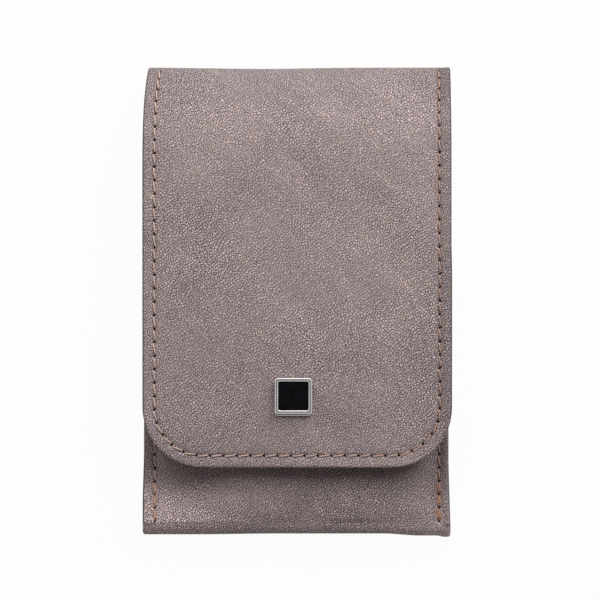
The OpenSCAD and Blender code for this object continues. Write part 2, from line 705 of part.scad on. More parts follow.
module tool_band() {
    n = len(BAND);
    top = [for (i = [0:n - 1]) BAND[i] + band_t * across(BAND, i)];
    color("dimgray") translate([0, band_y1, back_t + 0.02]) rotate([90, 0, 0]) linear_extrude(band_h)
        polygon(concat(BAND, [for (i = [n - 1:-1:0]) top[i]]));
}

module tool_band_stitching() {
    ends = [for (l = LOOPS) each [l[0] - l[1], l[0] + l[1]]];
    lines = [for (i = [1:2:len(ends) - 2]) (ends[i] + ends[i + 1]) / 2];
    n = steps(band_h);
    z = back_t + 0.02 + band_t + stitch_lift;
    color("tan") for (x = lines, k = [0:n - 1])
        let (y = band_y1 - (k + 0.5) * band_h / n)
        bar([x, y - stitch_l / 2, z], [x, y + stitch_l / 2, z], thread_d);
}

body_leather();
body_lining();
back_board();
pocket_stitching();
tool_band();
tool_band_stitching();
spine_leather();
spine_lining();
spine_stitching();
flap_leather();
flap_lining();
flap_board();
flap_stitching();
badge_base();
badge_frame();
badge_inlay();
snap_socket();
snap_spring();
snap_stud();
stud_rivet();
file_blade();
file_handle();
cuticle_pusher();
nail_cleaner();
tweezers_leg_lower();
tweezers_leg_upper();
scissors_half_lower();
scissors_half_upper();
scissors_screw();
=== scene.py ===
"""The looks of a small leather manicure set case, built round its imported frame.

Lengths in the tables and formulas below are in millimetres; meshes are made in metres. The surfaces of
the leather, the linings and the band follow the same formulas as the CAD source, with finer grids.
"""
import math

import bpy
import numpy as np
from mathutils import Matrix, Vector


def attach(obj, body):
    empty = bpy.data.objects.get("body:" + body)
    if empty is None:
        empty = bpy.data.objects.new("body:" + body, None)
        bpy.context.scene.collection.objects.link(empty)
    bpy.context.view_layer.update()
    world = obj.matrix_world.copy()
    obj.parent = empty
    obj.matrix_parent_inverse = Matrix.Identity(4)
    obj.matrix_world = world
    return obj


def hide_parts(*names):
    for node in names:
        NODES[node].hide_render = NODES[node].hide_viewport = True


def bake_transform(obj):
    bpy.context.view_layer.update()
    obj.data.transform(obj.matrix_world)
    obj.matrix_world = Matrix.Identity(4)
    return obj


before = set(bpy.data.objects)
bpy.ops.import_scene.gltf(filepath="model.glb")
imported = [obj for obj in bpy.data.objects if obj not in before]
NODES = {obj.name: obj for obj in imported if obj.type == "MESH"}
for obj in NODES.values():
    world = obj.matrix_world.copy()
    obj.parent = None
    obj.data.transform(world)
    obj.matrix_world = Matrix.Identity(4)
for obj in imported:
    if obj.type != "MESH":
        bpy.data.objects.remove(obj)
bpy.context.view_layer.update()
MM = 0.001

# ---- The case's sizes, as in the CAD source ----
FLAP_HW, POCKET_HW = 37.55, 37.35
TOP_Y, BOTTOM_Y, CROWN_Y, FLAP_END_Y, MOUTH_Y = 57.0, -57.0, 36.0, -40.2, 8.0
CASE_H, FOLD_H, FLAP_FALL, FLAP_SAG, POCKET_LOW, FOLD_D, WEDGE_L = 20.0, 7.0, 4.8, 1.8, 6.2, 3.0, 10.0
ROLL_L, LOWER_L, FLAP_R = 21.0, 10.0, 14.6
# How far each side of the flap is drawn in at the top roll (-1 left, 1 right), and the length it takes
TUCK = {-1: 1.4, 1: 0.4}
TUCK_RUN, TOP_BOW, BOTTOM_BOW = 30.0, 0.3, 0.8
SEAM_IN, SEAM_T, FOOT_X = 2.9, 4.8, 33.75
# The pocket's side seams, and the pitch of the stitches along them and along the other seams
SIDE_SEAM_X = {-1: 34.6, 1: 34.5}
SIDE_SEAM_END_Y = -53.3
SIDE_PITCH, PITCH = 3.26, 3.28
LEATHER_T, UNDER, FRONT_T = 1.3, 1.35, 1.95
FLAP_LINING, FLAP_T, BACK_LINING, BACK_T = 1.9, 2.5, 2.2, 2.8
LAYER_GAP, BOARD_MARGIN = 0.05, 4.4
FLAP_FOLD_A = 55.0
SNAP_X, SNAP_Y, SNAP_SPACE = -0.9, -22.6, 3.2
BAND_Y1, BAND_H, BAND_T, BAND_END = -2.0, 16.0, 0.6, 32.25
# Each loop's middle, half width and height
LOOPS = [(-26.45, 2.9, 1.45), (-16.25, 2.1, 3.85), (0.0, 8.8, 4.75), (16.25, 2.1, 3.85), (26.45, 3.2, 3.17)]


# ---- What the scene adds to those surfaces ----
# How much fuller the pocket is at its lower end, and where its level corner's height is measured from
WEDGE_RISE = 1.1
CORNER_X, CORNER_Y = -30.0, -53.0
# How far the flap's right edge and the body's two sides are drawn in
EDGE_DIP = 0.13
BODY_TAPER = {-1: 0.3, 1: 0.5}
# The pocket's front lies this much to the left. The fold is squarer than round, and tilted.
FRONT_SHIFT = -0.2
SQUARE, FOLD_TILT = 0.56, 0.28


def arch(t):
    """A quarter ellipse's height, from 1 at t = 0 to 0 at t = 1."""
    return np.sqrt(np.clip(1 - t * t, 0, None))


def mix(a, b, t):
    return a + (b - a) * t


def unit(v):
    return v / np.linalg.norm(v, axis=-1, keepdims=True)


def stack(x, y, z):
    return np.stack(np.broadcast_arrays(x, y, z), axis=-1).astype(float)


def smooth(t):
    """0 up to t = 0, 1 from t = 1, and a smooth step between."""
    t = np.clip(t, 0, 1)
    return t * t * (3 - 2 * t)


def sag(x):
    return FLAP_SAG * np.minimum(1, np.abs(x) / FLAP_HW) ** 2.5


def fold_y(x):
    return TOP_Y - TOP_BOW * np.exp(-((x + 9) / 15) ** 2)


def flap_z(x, y):
    flat = CASE_H - sag(x) - FLAP_FALL * ((CROWN_Y - y) / (CROWN_Y - FLAP_END_Y)) ** 2
    roll = FOLD_H + (CASE_H - sag(x) - FOLD_H) * arch((y - CROWN_Y) / (fold_y(x) - CROWN_Y))
    return np.where(y < CROWN_Y, flat, roll)


def flap_half(side, y):
    d = y - FLAP_END_Y
    cut = np.where(d < FLAP_R, FLAP_R * (1 - arch(1 - d / FLAP_R)), 0)
    dip = EDGE_DIP * smooth((y - 6) / 10) * smooth((56 - y) / 8) if side > 0 else 0.0
    return FLAP_HW - cut - dip - TUCK[side] * (np.maximum(0, y - TOP_Y + TUCK_RUN) / TUCK_RUN) ** 4


def normal_of(height, x, y, probe=0.1):
    """Upward normals of the surface z = height(x, y)."""
    fx = (height(x + probe, y) - height(x - probe, y)) / (2 * probe)
    fy = (height(x, y + probe) - height(x, y - probe)) / (2 * probe)
    return unit(stack(-fx, -fy, 1.0))


FRONT_Y0 = BOTTOM_Y + BOTTOM_BOW + FOLD_D
SNAP_POCKET_Z = float(flap_z(SNAP_X, SNAP_Y)) - FLAP_T - SNAP_SPACE


def crown_line(y):
    wedge = 1 - np.maximum(0, 1 - (y - FRONT_Y0) / WEDGE_L) ** 1.6
    return POCKET_LOW + (SNAP_POCKET_Z - POCKET_LOW) * (wedge + (y - FRONT_Y0) / (SNAP_Y - FRONT_Y0)) / 2


def pillow(x):
    return 1 - np.minimum(1, np.abs(x) / FOOT_X) ** 11


def front_z(x, y):
    """The pocket's face. Its lower left corner lies level, as no tool lifts it, and stands off its seam."""
    z = crown_line(y) + WEDGE_RISE * smooth((FRONT_Y0 + WEDGE_L - y) / WEDGE_L)
    level = smooth((-15 - x) / 13) * smooth((-20 - y) / 24)
    corner_z = POCKET_LOW - 0.1 - 0.02 * (y - CORNER_Y) + 0.03 * np.maximum(0, CORNER_X - x)
    plain = SEAM_T + (mix(z, np.minimum(z, corner_z), level) - SEAM_T) * pillow(x)
    loose = smooth((-28.5 - x) / 4) * smooth((-41 - y) / 8)
    return mix(plain, np.maximum(plain, corner_z), loose)


def pocket_half(side, y):
    """The body narrows a little from its lower corners up to the flap."""
    rise = smooth((y + 49) / 14) if side < 0 else smooth((y + 58) / 22)
    return POCKET_HW - BODY_TAPER[side] * rise * smooth((12 - y) / 20)


def bottom_line(x):
    """The lower edge bows in at the middle, and its right corner reaches lowest."""
    return (BOTTOM_Y + BOTTOM_BOW - 0.12 - 0.2 * smooth((-5 - x) / 20) - 0.5 * smooth((x - 21) / 9)
            - 0.3 * smooth((x - 34) / 1.6))


def fold_depth(x):
    return mix(SEAM_T / 2 + 0.3, FOLD_D, pillow(x))


def fold_centre(x):
    return bottom_line(x) + fold_depth(x)


# ---- The flap's surface, addressed by x and by s along the leather (s is y below the crown) ----
ROLL_A = np.radians(np.linspace(90, 0, 181))
ROLL_S = CROWN_Y + np.concatenate([[0], np.cumsum(np.hypot(
    np.diff(ROLL_L * np.cos(ROLL_A)), np.diff((CASE_H - FOLD_H) * np.sin(ROLL_A))))])
S_TOP = float(ROLL_S[-1])


def roll_angle(s):
    return np.interp(s, ROLL_S, ROLL_A)


def flap_y(s):
    return np.where(s < CROWN_Y, s, CROWN_Y + ROLL_L * np.cos(roll_angle(s)))


def flap_point(x, s):
    """Outer points and the directions into the case, for arrays x and s."""
    a = roll_angle(s)
    flat = stack(x, s, flap_z(x, np.minimum(s, CROWN_Y - 1e-9)))
    roll = stack(x, CROWN_Y + (fold_y(x) - CROWN_Y) * np.cos(a),
                 FOLD_H + (CASE_H - sag(x) - FOLD_H) * np.sin(a))
    n = normal_of(flap_z, x, np.minimum(s, CROWN_Y - 0.2))
    n_roll = unit(stack(n[..., 0] * np.sin(a), np.cos(a), n[..., 2] * np.sin(a)))
    on_roll = (s >= CROWN_Y)[..., None] & np.ones(3, bool)
    return np.where(on_roll, roll, flat), -np.where(on_roll, n_roll, n)


def flap_edge(x, s):
    """Distance from the flap's outline, inwards."""
    y = flap_y(s)
    half = np.where(x < 0, flap_half(-1, y), flap_half(1, y))
    cx, cy = FLAP_HW - FLAP_R, FLAP_END_Y + FLAP_R
    corner = FLAP_R - np.hypot(np.abs(x) - cx, y - cy)
    plain = np.minimum(np.where(y < cy, FLAP_HW, half) - np.abs(x), y - FLAP_END_Y)
    return np.where((np.abs(x) > cx) & (y < cy), corner, plain)


def columns(left, right, insets, step):
    """x of each column for rows of half widths left and right: close together near both edges."""
    i = np.array(insets)
    n = int(round(2 * (FLAP_HW - i[-1]) / step))
    t = np.linspace(0, 1, n + 1)[1:-1]
    lo, hi = -(left - i[-1])[:, None], (right - i[-1])[:, None]
    return np.hstack([-(left[:, None] - i), lo + (hi - lo) * t, right[:, None] - i[::-1]])


# ---- The body's surface: lower roll, back, bottom fold and pocket front in one strip ----

def body_rows(step_back, step_front):
    """Rows of the strip as (kind, value), from the outermost line of the roll to the pocket's mouth."""
    rows = [("lower", a) for a in np.linspace(0, 90, 22)]
    rows += [("back", t) for t in np.linspace(0, 1, int(95 / step_back) + 1)[1:-1]]
    rows += [("fold", a) for a in np.linspace(-90, 90, 46)]
    n = int(60 / step_front)
    at_mouth = [1 - 0.4 / 60, 1 - 0.2 / 60, 1 - 0.07 / 60, 1]
    rows += [("front", t) for t in np.concatenate([np.linspace(0, 1, n + 1)[1:-1], at_mouth])]
    return rows


def body_surface(rows, insets, step):
    """Plain points, the directions into the case, and the outer points, which are squarer at the fold."""
    out, into, square = [], [], []
    for kind, value in rows:
        cos = math.cos(math.radians(value)) if kind == "lower" else 0.0
        at_y = {"lower": TOP_Y, "fold": BOTTOM_Y}.get(kind, mix(BOTTOM_Y + FOLD_D, MOUTH_Y, value))
        if kind == "back":
            at_y = mix(TOP_Y - LOWER_L, BOTTOM_Y + FOLD_D, value)
        half = [mix(pocket_half(side, at_y), float(flap_half(side, np.array(TOP_Y))), cos)
                for side in (-1, 1)]
        x = columns(np.array([half[0]]), np.array([half[1]]), insets, step)[0]
        if kind in ("fold", "front"):
            x = x + FRONT_SHIFT * (1 if kind == "front" else smooth((value + 60) / 120))
        c, h = fold_centre(x), front_z(x, fold_centre(x))
        y_back = fold_y(x) - LOWER_L
        sq = None
        if kind == "lower":
            sin = math.sin(math.radians(value))
            p, d = stack(x, y_back + LOWER_L * cos, FOLD_H * (1 - sin)), stack(x * 0, -cos, sin)
        elif kind == "back":
            p, d = stack(x, mix(y_back, c, value), 0.0), stack(x * 0, 0.0, 1.0)
        elif kind == "fold":
            a = math.radians(value)
            n = normal_of(front_z, x, c)
            w = smooth((value - 20) / 70)
            p = stack(x, c - fold_depth(x) * math.cos(a), h / 2 * (1 + math.sin(a)))
            d = unit(mix(stack(x * 0, math.cos(a), -math.sin(a)), -n, w))
            cos, sin = math.cos(a) ** SQUARE, math.copysign(abs(math.sin(a)) ** SQUARE, a)
            tilt = FOLD_TILT * fold_depth(x) * cos * smooth(value / 60)
            sq = stack(x, c - fold_depth(x) * cos, h / 2 * (1 + sin) - tilt)
        else:
            y = mix(c, MOUTH_Y, value)
            p, d = stack(x, y, front_z(x, y)), -normal_of(front_z, x, y)
        out.append(p)
        into.append(d)
        square.append(p if sq is None else sq)
    return np.array(out), np.array(into), np.array(square)


# ---- Meshes ----

def make_mesh(name, verts, faces, materials, index=None, rest=None, sharp=40, painted_shading_and_wear=None):
    """A mesh object from points in mm. rest holds the points that its textures are laid out by,
    painted_shading_and_wear a factor on the leather's colour that paints light and shade."""
    me = bpy.data.meshes.new(name)
    me.from_pydata((np.asarray(verts) * MM).tolist(), [], faces)
    for m in materials:
        me.materials.append(m)
    if index is not None:
        me.polygons.foreach_set("material_index", np.asarray(index, np.int32))
    at = me.attributes.new("rest", "FLOAT_VECTOR", "POINT")
    at.data.foreach_set("vector", (np.asarray(verts if rest is None else rest, np.float32) * MM).ravel())
    if painted_shading_and_wear is not None:
        at = me.attributes.new("painted_shading_and_wear", "FLOAT", "POINT")
        at.data.foreach_set("value", np.asarray(painted_shading_and_wear, np.float32).ravel())
    me.shade_smooth()
    me.set_sharp_from_angle(angle=math.radians(sharp))
    me.update()
    o = bpy.data.objects.new(name, me)
    bpy.context.scene.collection.objects.link(o)
    return o


def sheet(name, outer, inner, materials, painted=None, rest=None, sharp=40, painted_shading_and_wear=None):
    """A closed sheet between two grids. materials: outer face, inner face, cut edge.
    painted marks the outer points whose faces belong to the cut edge."""
    nr, nc = outer.shape[:2]
    n = nr * nc
    i = np.arange(n).reshape(nr, nc)
    quad = np.stack([i[:-1, :-1], i[:-1, 1:], i[1:, 1:], i[1:, :-1]], -1).reshape(-1, 4)
    ring = np.concatenate([i[0, :-1], i[:-1, -1], i[-1, :0:-1], i[:0:-1, 0]])
    nxt = np.roll(ring, -1)
    side = np.stack([nxt, ring, ring + n, nxt + n], -1)
    faces = np.concatenate([quad, quad[:, ::-1] + n, side])
    index = np.concatenate([np.zeros(len(quad)), np.ones(len(quad)), np.full(len(side), 2)])
    if painted is not None:
        index[:len(quad)][painted.reshape(-1)[quad].sum(1) >= 3] = 2
    verts = np.concatenate([outer.reshape(-1, 3), inner.reshape(-1, 3)])
    # The winding is turned if the first quad does not face away from the inner grid
    r, c = nr // 2, nc // 2
    across = np.cross(outer[r, c + 1] - outer[r, c], outer[r + 1, c] - outer[r, c])
    if across @ (outer[r, c] - inner[r, c]) < 0:
        faces = faces[:, ::-1]
    if rest is not None:
        rest = np.concatenate([rest.reshape(-1, 3), rest.reshape(-1, 3) + [0, 0, 2.0]])
    if painted_shading_and_wear is not None:
        painted_shading_and_wear = np.concatenate([painted_shading_and_wear.ravel(), np.ones(n)])
    return make_mesh(name, verts, faces.tolist(), materials, index, rest, sharp, painted_shading_and_wear)


def surface_normals(p, into):
    """Normals of a grid of points, on the side away from into."""
    n = np.cross(np.gradient(p, axis=0), np.gradient(p, axis=1))
    n = unit(n + 1e-12)
    return n * -np.sign(np.sum(n * into, -1, keepdims=True))


def waves(u, v, seed, short, long, count=36):
    """A smooth random field of about unit size, made of plane waves between two wavelengths."""
    rng = np.random.default_rng(seed)
    total = np.zeros(np.shape(u))
    for _ in range(count):
        k = 2 * math.pi / math.exp(rng.uniform(math.log(short), math.log(long)))
        a, phase = rng.uniform(0, 2 * math.pi, 2)
        total += np.sin(k * (u * math.cos(a) + v * math.sin(a)) + phase)
    return total * math.sqrt(2 / count)


def tube(path, radii, sides=8):
    """Points and faces of a closed round bar along path, one radius a point."""
    t = unit(np.gradient(path, axis=0))
    ref = np.where(np.abs(t[:, 2:3]) < 0.9, [[0.0, 0.0, 1.0]], [[1.0, 0.0, 0.0]])
    u = unit(np.cross(ref, t))
    w = np.cross(t, u)
    a = np.linspace(0, 2 * math.pi, sides, endpoint=False)
    ring = (np.cos(a)[None, :, None] * u[:, None] + np.sin(a)[None, :, None] * w[:, None])
    pts = (path[:, None] + ring * np.asarray(radii)[:, None, None]).reshape(-1, 3)
    n = len(path)
    faces = []
    for i in range(0, (n - 1) * sides, sides):
        for j in range(sides):
            k = (j + 1) % sides
            faces.append([i + j, i + k, i + sides + k, i + sides + j])
    faces.append(list(range(sides - 1, -1, -1)))
    faces.append([(n - 1) * sides + j for j in range(sides)])
    return pts, faces


def dome(centre, u, v, w, rings=3, sides=10):
    """A low closed lens with half axes u, v and w."""
    pts, faces = [centre + w], []
    for r in range(1, 2 * rings):
        a = math.pi * r / (2 * rings)
        for k in range(sides):
            b = 2 * math.pi * k / sides
            pts.append(centre + math.cos(a) * w + math.sin(a) * (math.cos(b) * u + math.sin(b) * v))
    pts.append(centre - w)
    for k in range(sides):
        faces.append([0, 1 + k, 1 + (k + 1) % sides])
    for r in range(2 * rings - 2):
        for k in range(sides):
            a, b = 1 + r * sides + k, 1 + r * sides + (k + 1) % sides
            faces.append([a, a + sides, b + sides, b])
    last = 1 + (2 * rings - 2) * sides
    for k in range(sides):
        faces.append([len(pts) - 1, last + (k + 1) % sides, last + k])
    return np.array(pts), faces


class Bundle:
    """Collects the points and faces of many small solids."""

    def __init__(self):
        self.pts, self.faces, self.count = [], [], 0

    def add(self, solid):
        pts, faces = solid
        self.pts.append(pts)
        self.faces += [[i + self.count for i in f] for f in faces]
        self.count += len(pts)

    def build(self, name, material):
        return make_mesh(name, np.concatenate(self.pts), self.faces, [material], sharp=60)


class Seam:
    """A row of stitches along points p of a surface with outward normals n."""

    def __init__(self, p, n):
        self.p, self.n = p, unit(n)
        self.t = unit(np.gradient(p, axis=0))
        self.side = unit(np.cross(self.n, self.t))
        self.s = np.concatenate([[0], np.cumsum(np.linalg.norm(np.diff(p, axis=0), axis=1))])

    def at(self, s):
        def pick(v):
            return np.stack([np.interp(s, self.s, v[:, k]) for k in range(3)], -1)
        return pick(self.p), pick(self.n), pick(self.t), pick(self.side)

    def nearest(self, point):
        return self.s[np.argmin(np.linalg.norm(self.p - point, axis=1))]


THREAD_R = 0.19
# Where the seams draw the leather in: how deep, how wide, and how far round a needle hole
GROOVE, GROOVE_W = 0.24, 0.42
PIT_R = 0.5


def sew(seam, holes, threads, pits, slant=0.24, offset=0.0, radius=THREAD_R, hole=(0.46, 0.21), sink=0.45):
    """Adds a thread between each two holes, and at each of them a near-black lens sunk in the needle hole, as
    painted shade.

    slant is how far a thread's ends lie to the seam's two sides, sink how deep they dip."""
    for a, b in zip(holes[:-1], holes[1:]):
        k = np.linspace(0, 1, 9)
        p, n, t, side = seam.at(a + 0.2 + (b - a - 0.4) * k)
        lift = mix(-sink, 0.1, 1 - np.abs(2 * k - 1) ** 5)
        path = p + n * lift[:, None] + side * (offset + slant * (2 * k - 1))[:, None]
        threads.add(tube(path, radius * (1 - 0.35 * np.abs(2 * k - 1) ** 3)))
    if pits is not None:
        p, n, t, side = seam.at(np.asarray(holes))
        for i in range(len(holes)):
            long = unit(t[i] * 0.8 - side[i] * slant * 3.0)
            # A near-black lens in the hole: painted shade
            pits.add(dome(p[i] - n[i] * 0.24, long * hole[0], np.cross(n[i], long) * hole[1], n[i] * 0.16))


def pit_depth(points, holes, deep, size=PIT_R):
    """How deep the leather is drawn in round the holes, at each point."""
    flat = points.reshape(-1, 3)
    out = np.zeros(len(flat))
    for h in holes:
        near = np.abs(flat - h).max(1) < 3 * size
        out[near] += deep * np.exp(-(np.linalg.norm(flat[near] - h, axis=1) / size) ** 2)
    return out.reshape(points.shape[:-1])


# ---- Materials ----

def nodes_of(m):
    m.use_nodes = True
    nt = m.node_tree
    nt.nodes.clear()
    out = nt.nodes.new("ShaderNodeOutputMaterial")
    bsdf = nt.nodes.new("ShaderNodeBsdfPrincipled")
    nt.links.new(bsdf.outputs[0], out.inputs[0])
    return nt, bsdf


class Tree:
    """Small helpers to lay out a node material."""

    def __init__(self, name, coords="rest"):
        self.m = bpy.data.materials.new(name)
        self.nt, self.bsdf = nodes_of(self.m)
        if coords == "rest":
            c = self.nt.nodes.new("ShaderNodeAttribute")
            c.attribute_name = "rest"
            self.coords = c.outputs["Vector"]
        else:
            self.coords = self.nt.nodes.new("ShaderNodeTexCoord").outputs["Object"]

    def link(self, a, b):
        self.nt.links.new(a, b)

    def put(self, value, socket):
        if isinstance(value, bpy.types.NodeSocket):
            self.link(value, socket)
        else:
            socket.default_value = value

    def turned(self, angle, coords=None):
        """Coordinates turned about z by an angle in degrees."""
        r = self.nt.nodes.new("ShaderNodeVectorRotate")
        r.rotation_type = "Z_AXIS"
        r.inputs["Angle"].default_value = math.radians(angle)
        self.link(coords or self.coords, r.inputs["Vector"])
        return r.outputs[0]

    def scaled(self, scale, turn=0.0, coords=None):
        """Coordinates turned about z, then stretched."""
        coords = self.turned(turn, coords) if turn else self.coords
        m = self.nt.nodes.new("ShaderNodeMapping")
        m.inputs["Scale"].default_value = scale
        self.link(coords, m.inputs["Vector"])
        return m.outputs[0]

    def noise(self, scale, detail=2.0, rough=0.5, coords=None, distortion=0.0):
        n = self.nt.nodes.new("ShaderNodeTexNoise")
        self.link(coords or self.coords, n.inputs["Vector"])
        for k, v in (("Scale", scale), ("Detail", detail), ("Roughness", rough), ("Distortion", distortion)):
            n.inputs[k].default_value = v
        return n.outputs["Fac"]

    def warped(self, scale, reach):
        """Coordinates pushed about by a noise, by about reach metres."""
        n = self.nt.nodes.new("ShaderNodeTexNoise")
        self.link(self.coords, n.inputs["Vector"])
        n.inputs["Scale"].default_value = scale
        m = self.nt.nodes.new("ShaderNodeVectorMath")
        m.operation = "MULTIPLY_ADD"
        self.link(n.outputs["Color"], m.inputs[0])
        m.inputs[1].default_value = (reach,) * 3
        self.link(self.coords, m.inputs[2])
        return m.outputs[0]

    def cells(self, scale, random=0.8, coords=None):
        """Distance to the edges of flat cells, in parts of their size."""
        n = self.nt.nodes.new("ShaderNodeTexVoronoi")
        n.voronoi_dimensions, n.feature = "2D", "DISTANCE_TO_EDGE"
        self.link(coords or self.coords, n.inputs["Vector"])
        n.inputs["Scale"].default_value = scale
        n.inputs["Randomness"].default_value = random
        return n.outputs["Distance"]

    def wave(self, scale, direction):
        n = self.nt.nodes.new("ShaderNodeTexWave")
        n.bands_direction = direction
        self.link(self.coords, n.inputs["Vector"])
        n.inputs["Scale"].default_value = scale
        return n.outputs["Fac"]

    def math(self, op, a, b=0.0):
        n = self.nt.nodes.new("ShaderNodeMath")
        n.operation = op
        self.put(a, n.inputs[0])
        self.put(b, n.inputs[1])
        return n.outputs[0]

    def remap(self, value, lo, hi, to_lo, to_hi):
        n = self.nt.nodes.new("ShaderNodeMapRange")
        for k, v in zip(("Value", "From Min", "From Max", "To Min", "To Max"), (value, lo, hi, to_lo, to_hi)):
            self.put(v, n.inputs[k])
        return n.outputs[0]

    def ramp(self, value, stops):
        n = self.nt.nodes.new("ShaderNodeValToRGB")
        e = n.color_ramp.elements
        while len(e) < len(stops):
            e.new(0.5)
        for k, (at, colour) in enumerate(stops):
            e[k].position = at
            e[k].color = (*colour, 1)
        self.link(value, n.inputs[0])
        return n.outputs["Color"]

    def blend(self, a, b, fac, mode="MIX"):
        n = self.nt.nodes.new("ShaderNodeMix")
        n.data_type = "RGBA"
        n.blend_type = mode
        self.put(fac, n.inputs[0])
        self.put(a, n.inputs[6])
        self.put(b, n.inputs[7])
        return n.outputs[2]

    def bump(self, height, distance, strength=1.0):
        n = self.nt.nodes.new("ShaderNodeBump")
        n.inputs["Strength"].default_value = strength
        n.inputs["Distance"].default_value = distance
        self.link(height, n.inputs["Height"])
        return n.outputs[0]

    def times(self, first, *others):
        """Colours multiplied."""
        for other in others:
            first = self.blend(first, other, 1.0, "MULTIPLY")
        return first

    def done(self, **sockets):
        """The material, with each socket of its shader set or linked."""
        for k, v in sockets.items():
            name = k.replace("_", " ")
            if isinstance(v, tuple) and len(v) == 3:
                v = (*v, 1)
            self.put(v, self.bsdf.inputs[name])
        return self.m


def rgb(r, g, b):
    """Linear colour from 8-bit sRGB."""
    return tuple((c / 255 / 12.92 if c <= 10 else ((c / 255 + 0.055) / 1.055) ** 2.4) for c in (r, g, b))


def scale_rgb(c, k):
    return tuple(v * k for v in c)


def grey(low, high, dark, pale):
    """Ramp stops between two greys that multiply a colour."""
    return [(low, (dark,) * 3), (high, (pale,) * 3)]


def shades(colour, *stops):
    """Ramp stops of one colour at several strengths."""
    return [(at, scale_rgb(colour, k)) for at, k in stops]


GRAIN_SCALE, GRAIN_MEAN = 1720, 0.44


def leather_material(name, colour):
    """Leather with a fine pebbled grain, faint diagonal creases and clouds of tone."""
    t = Tree(name)
    # Pebbles a little longer than wide, stronger in some places than in others, with finer grain on them
    cells = t.cells(GRAIN_SCALE, 0.92, t.scaled((0.84, 1.12, 1), 52, t.warped(460, 0.0010)))
    pebbles = t.math("SUBTRACT", t.math("MULTIPLY", cells, 2.2), GRAIN_MEAN)
    strength = t.remap(t.noise(42, 2.0, 0.5), 0.35, 0.65, 0.75, 1.25)
    pebbles = t.math("ADD", t.math("MULTIPLY", pebbles, strength), GRAIN_MEAN)
    fine = t.math("MULTIPLY", t.noise(3600, 1.0, 0.5), 1.7)
    creases = t.noise(1.0, 2.0, 0.6, coords=t.scaled((95, 1300, 1), 45), distortion=0.3)
    grain = t.math("ADD", t.math("ADD", pebbles, fine), t.remap(creases, 0.6, 0.74, 0.0, 0.2))
    height = t.remap(grain, 0.72, 1.74, 0.0, 1.0)
    tone = t.ramp(height, shades(colour, (0.0, 0.06), (0.4, 1.0), (1.0, 2.6)))
    cool, even, warm = (0.97, 0.965, 1.0), (1.0, 1.0, 1.0), (1.025, 1.02, 0.98)
    tint = t.ramp(t.noise(330, 2.0, 0.5), [(0.36, cool), (0.5, even), (0.64, warm)])
    clouds = t.ramp(t.noise(60, 3.0, 0.55), grey(0.3, 0.7, 0.9, 1.1))
    across = t.noise(1.0, 3.0, 0.55, coords=t.scaled((30, 130, 1), 45))
    streaks = t.ramp(across, grey(0.35, 0.65, 0.94, 1.06))
    # The mesh's attribute scales the colour: painted light and shade
    painted_shading_and_wear = t.nt.nodes.new("ShaderNodeAttribute")
    painted_shading_and_wear.attribute_name = "painted_shading_and_wear"
    col = t.times(t.times(tone, tint), t.times(clouds, streaks), painted_shading_and_wear.outputs["Color"])
    return t.done(Base_Color=col, Roughness=t.remap(height, 0, 1, 0.66, 0.5),
                  Normal=t.bump(height, 0.00012, 0.8), Specular_IOR_Level=0.4)


LEATHER_RGB = rgb(142, 127, 127)
MAT = {}
MAT["leather"] = leather_material("leather_grain", LEATHER_RGB)


def edge_paint():
    t = Tree("edge_paint")
    n = t.noise(900, 3.0, 0.6)
    col = t.ramp(n, [(0.3, rgb(58, 52, 51)), (0.7, rgb(84, 76, 74))])
    return t.done(Base_Color=col, Roughness=t.remap(n, 0.3, 0.7, 0.38, 0.52), Normal=t.bump(n, 0.00008, 0.5))


def flesh_side():
    t = Tree("leather_back")
    n = t.noise(1500, 4.0, 0.7)
    col = t.ramp(n, [(0.3, rgb(120, 105, 98)), (0.7, rgb(160, 144, 134))])
    return t.done(Base_Color=col, Roughness=0.9, Normal=t.bump(n, 0.0002, 0.7))


def lining_material(name, colour):
    t = Tree(name)
    fibre = t.noise(3200, 4.0, 0.75)
    nap = t.noise(160, 3.0, 0.6, distortion=0.6)
    tone = t.ramp(fibre, shades(colour, (0.25, 0.7), (0.75, 1.35)))
    col = t.times(tone, t.ramp(nap, grey(0.3, 0.7, 0.86, 1.14)))
    return t.done(Base_Color=col, Roughness=0.92, Normal=t.bump(fibre, 0.00012, 0.6),
                  Sheen_Weight=0.35, Sheen_Roughness=0.5, Specular_IOR_Level=0.2)


def webbing(name, colour):
    t = Tree(name)
    rib = t.wave(700, "Y")
    fibre = t.noise(4000, 3.0, 0.6)
    h = t.math("ADD", t.math("MULTIPLY", rib, 0.7), t.math("MULTIPLY", fibre, 0.3))
    col = t.ramp(h, shades(colour, (0.1, 0.6), (0.8, 1.4)))
    return t.done(Base_Color=col, Roughness=0.8, Normal=t.bump(h, 0.00015, 0.8), Specular_IOR_Level=0.25)


def thread_material(name, colour):
    t = Tree(name)
    n = t.noise(5200, 3.0, 0.6)
    twist = t.wave(1500, "DIAGONAL")
    h = t.math("ADD", t.math("MULTIPLY", twist, 0.6), t.math("MULTIPLY", n, 0.4))
    col = t.ramp(h, shades(colour, (0.15, 0.66), (0.75, 1.2)))
    # Painted light and shade: paler towards the case's left side, browner towards its right
    split = t.nt.nodes.new("ShaderNodeSeparateXYZ")
    t.link(t.coords, split.inputs[0])
    side = t.ramp(t.remap(split.outputs["X"], -0.036, 0.036, 0.0, 1.0),
                  [(0.0, (1.36, 1.48, 1.54)), (0.5, (1.2, 1.21, 1.22)), (1.0, (0.96, 0.88, 0.83))])
    return t.done(Base_Color=t.times(col, side), Roughness=0.5, Normal=t.bump(h, 0.00008, 0.7),
                  Sheen_Weight=0.2)


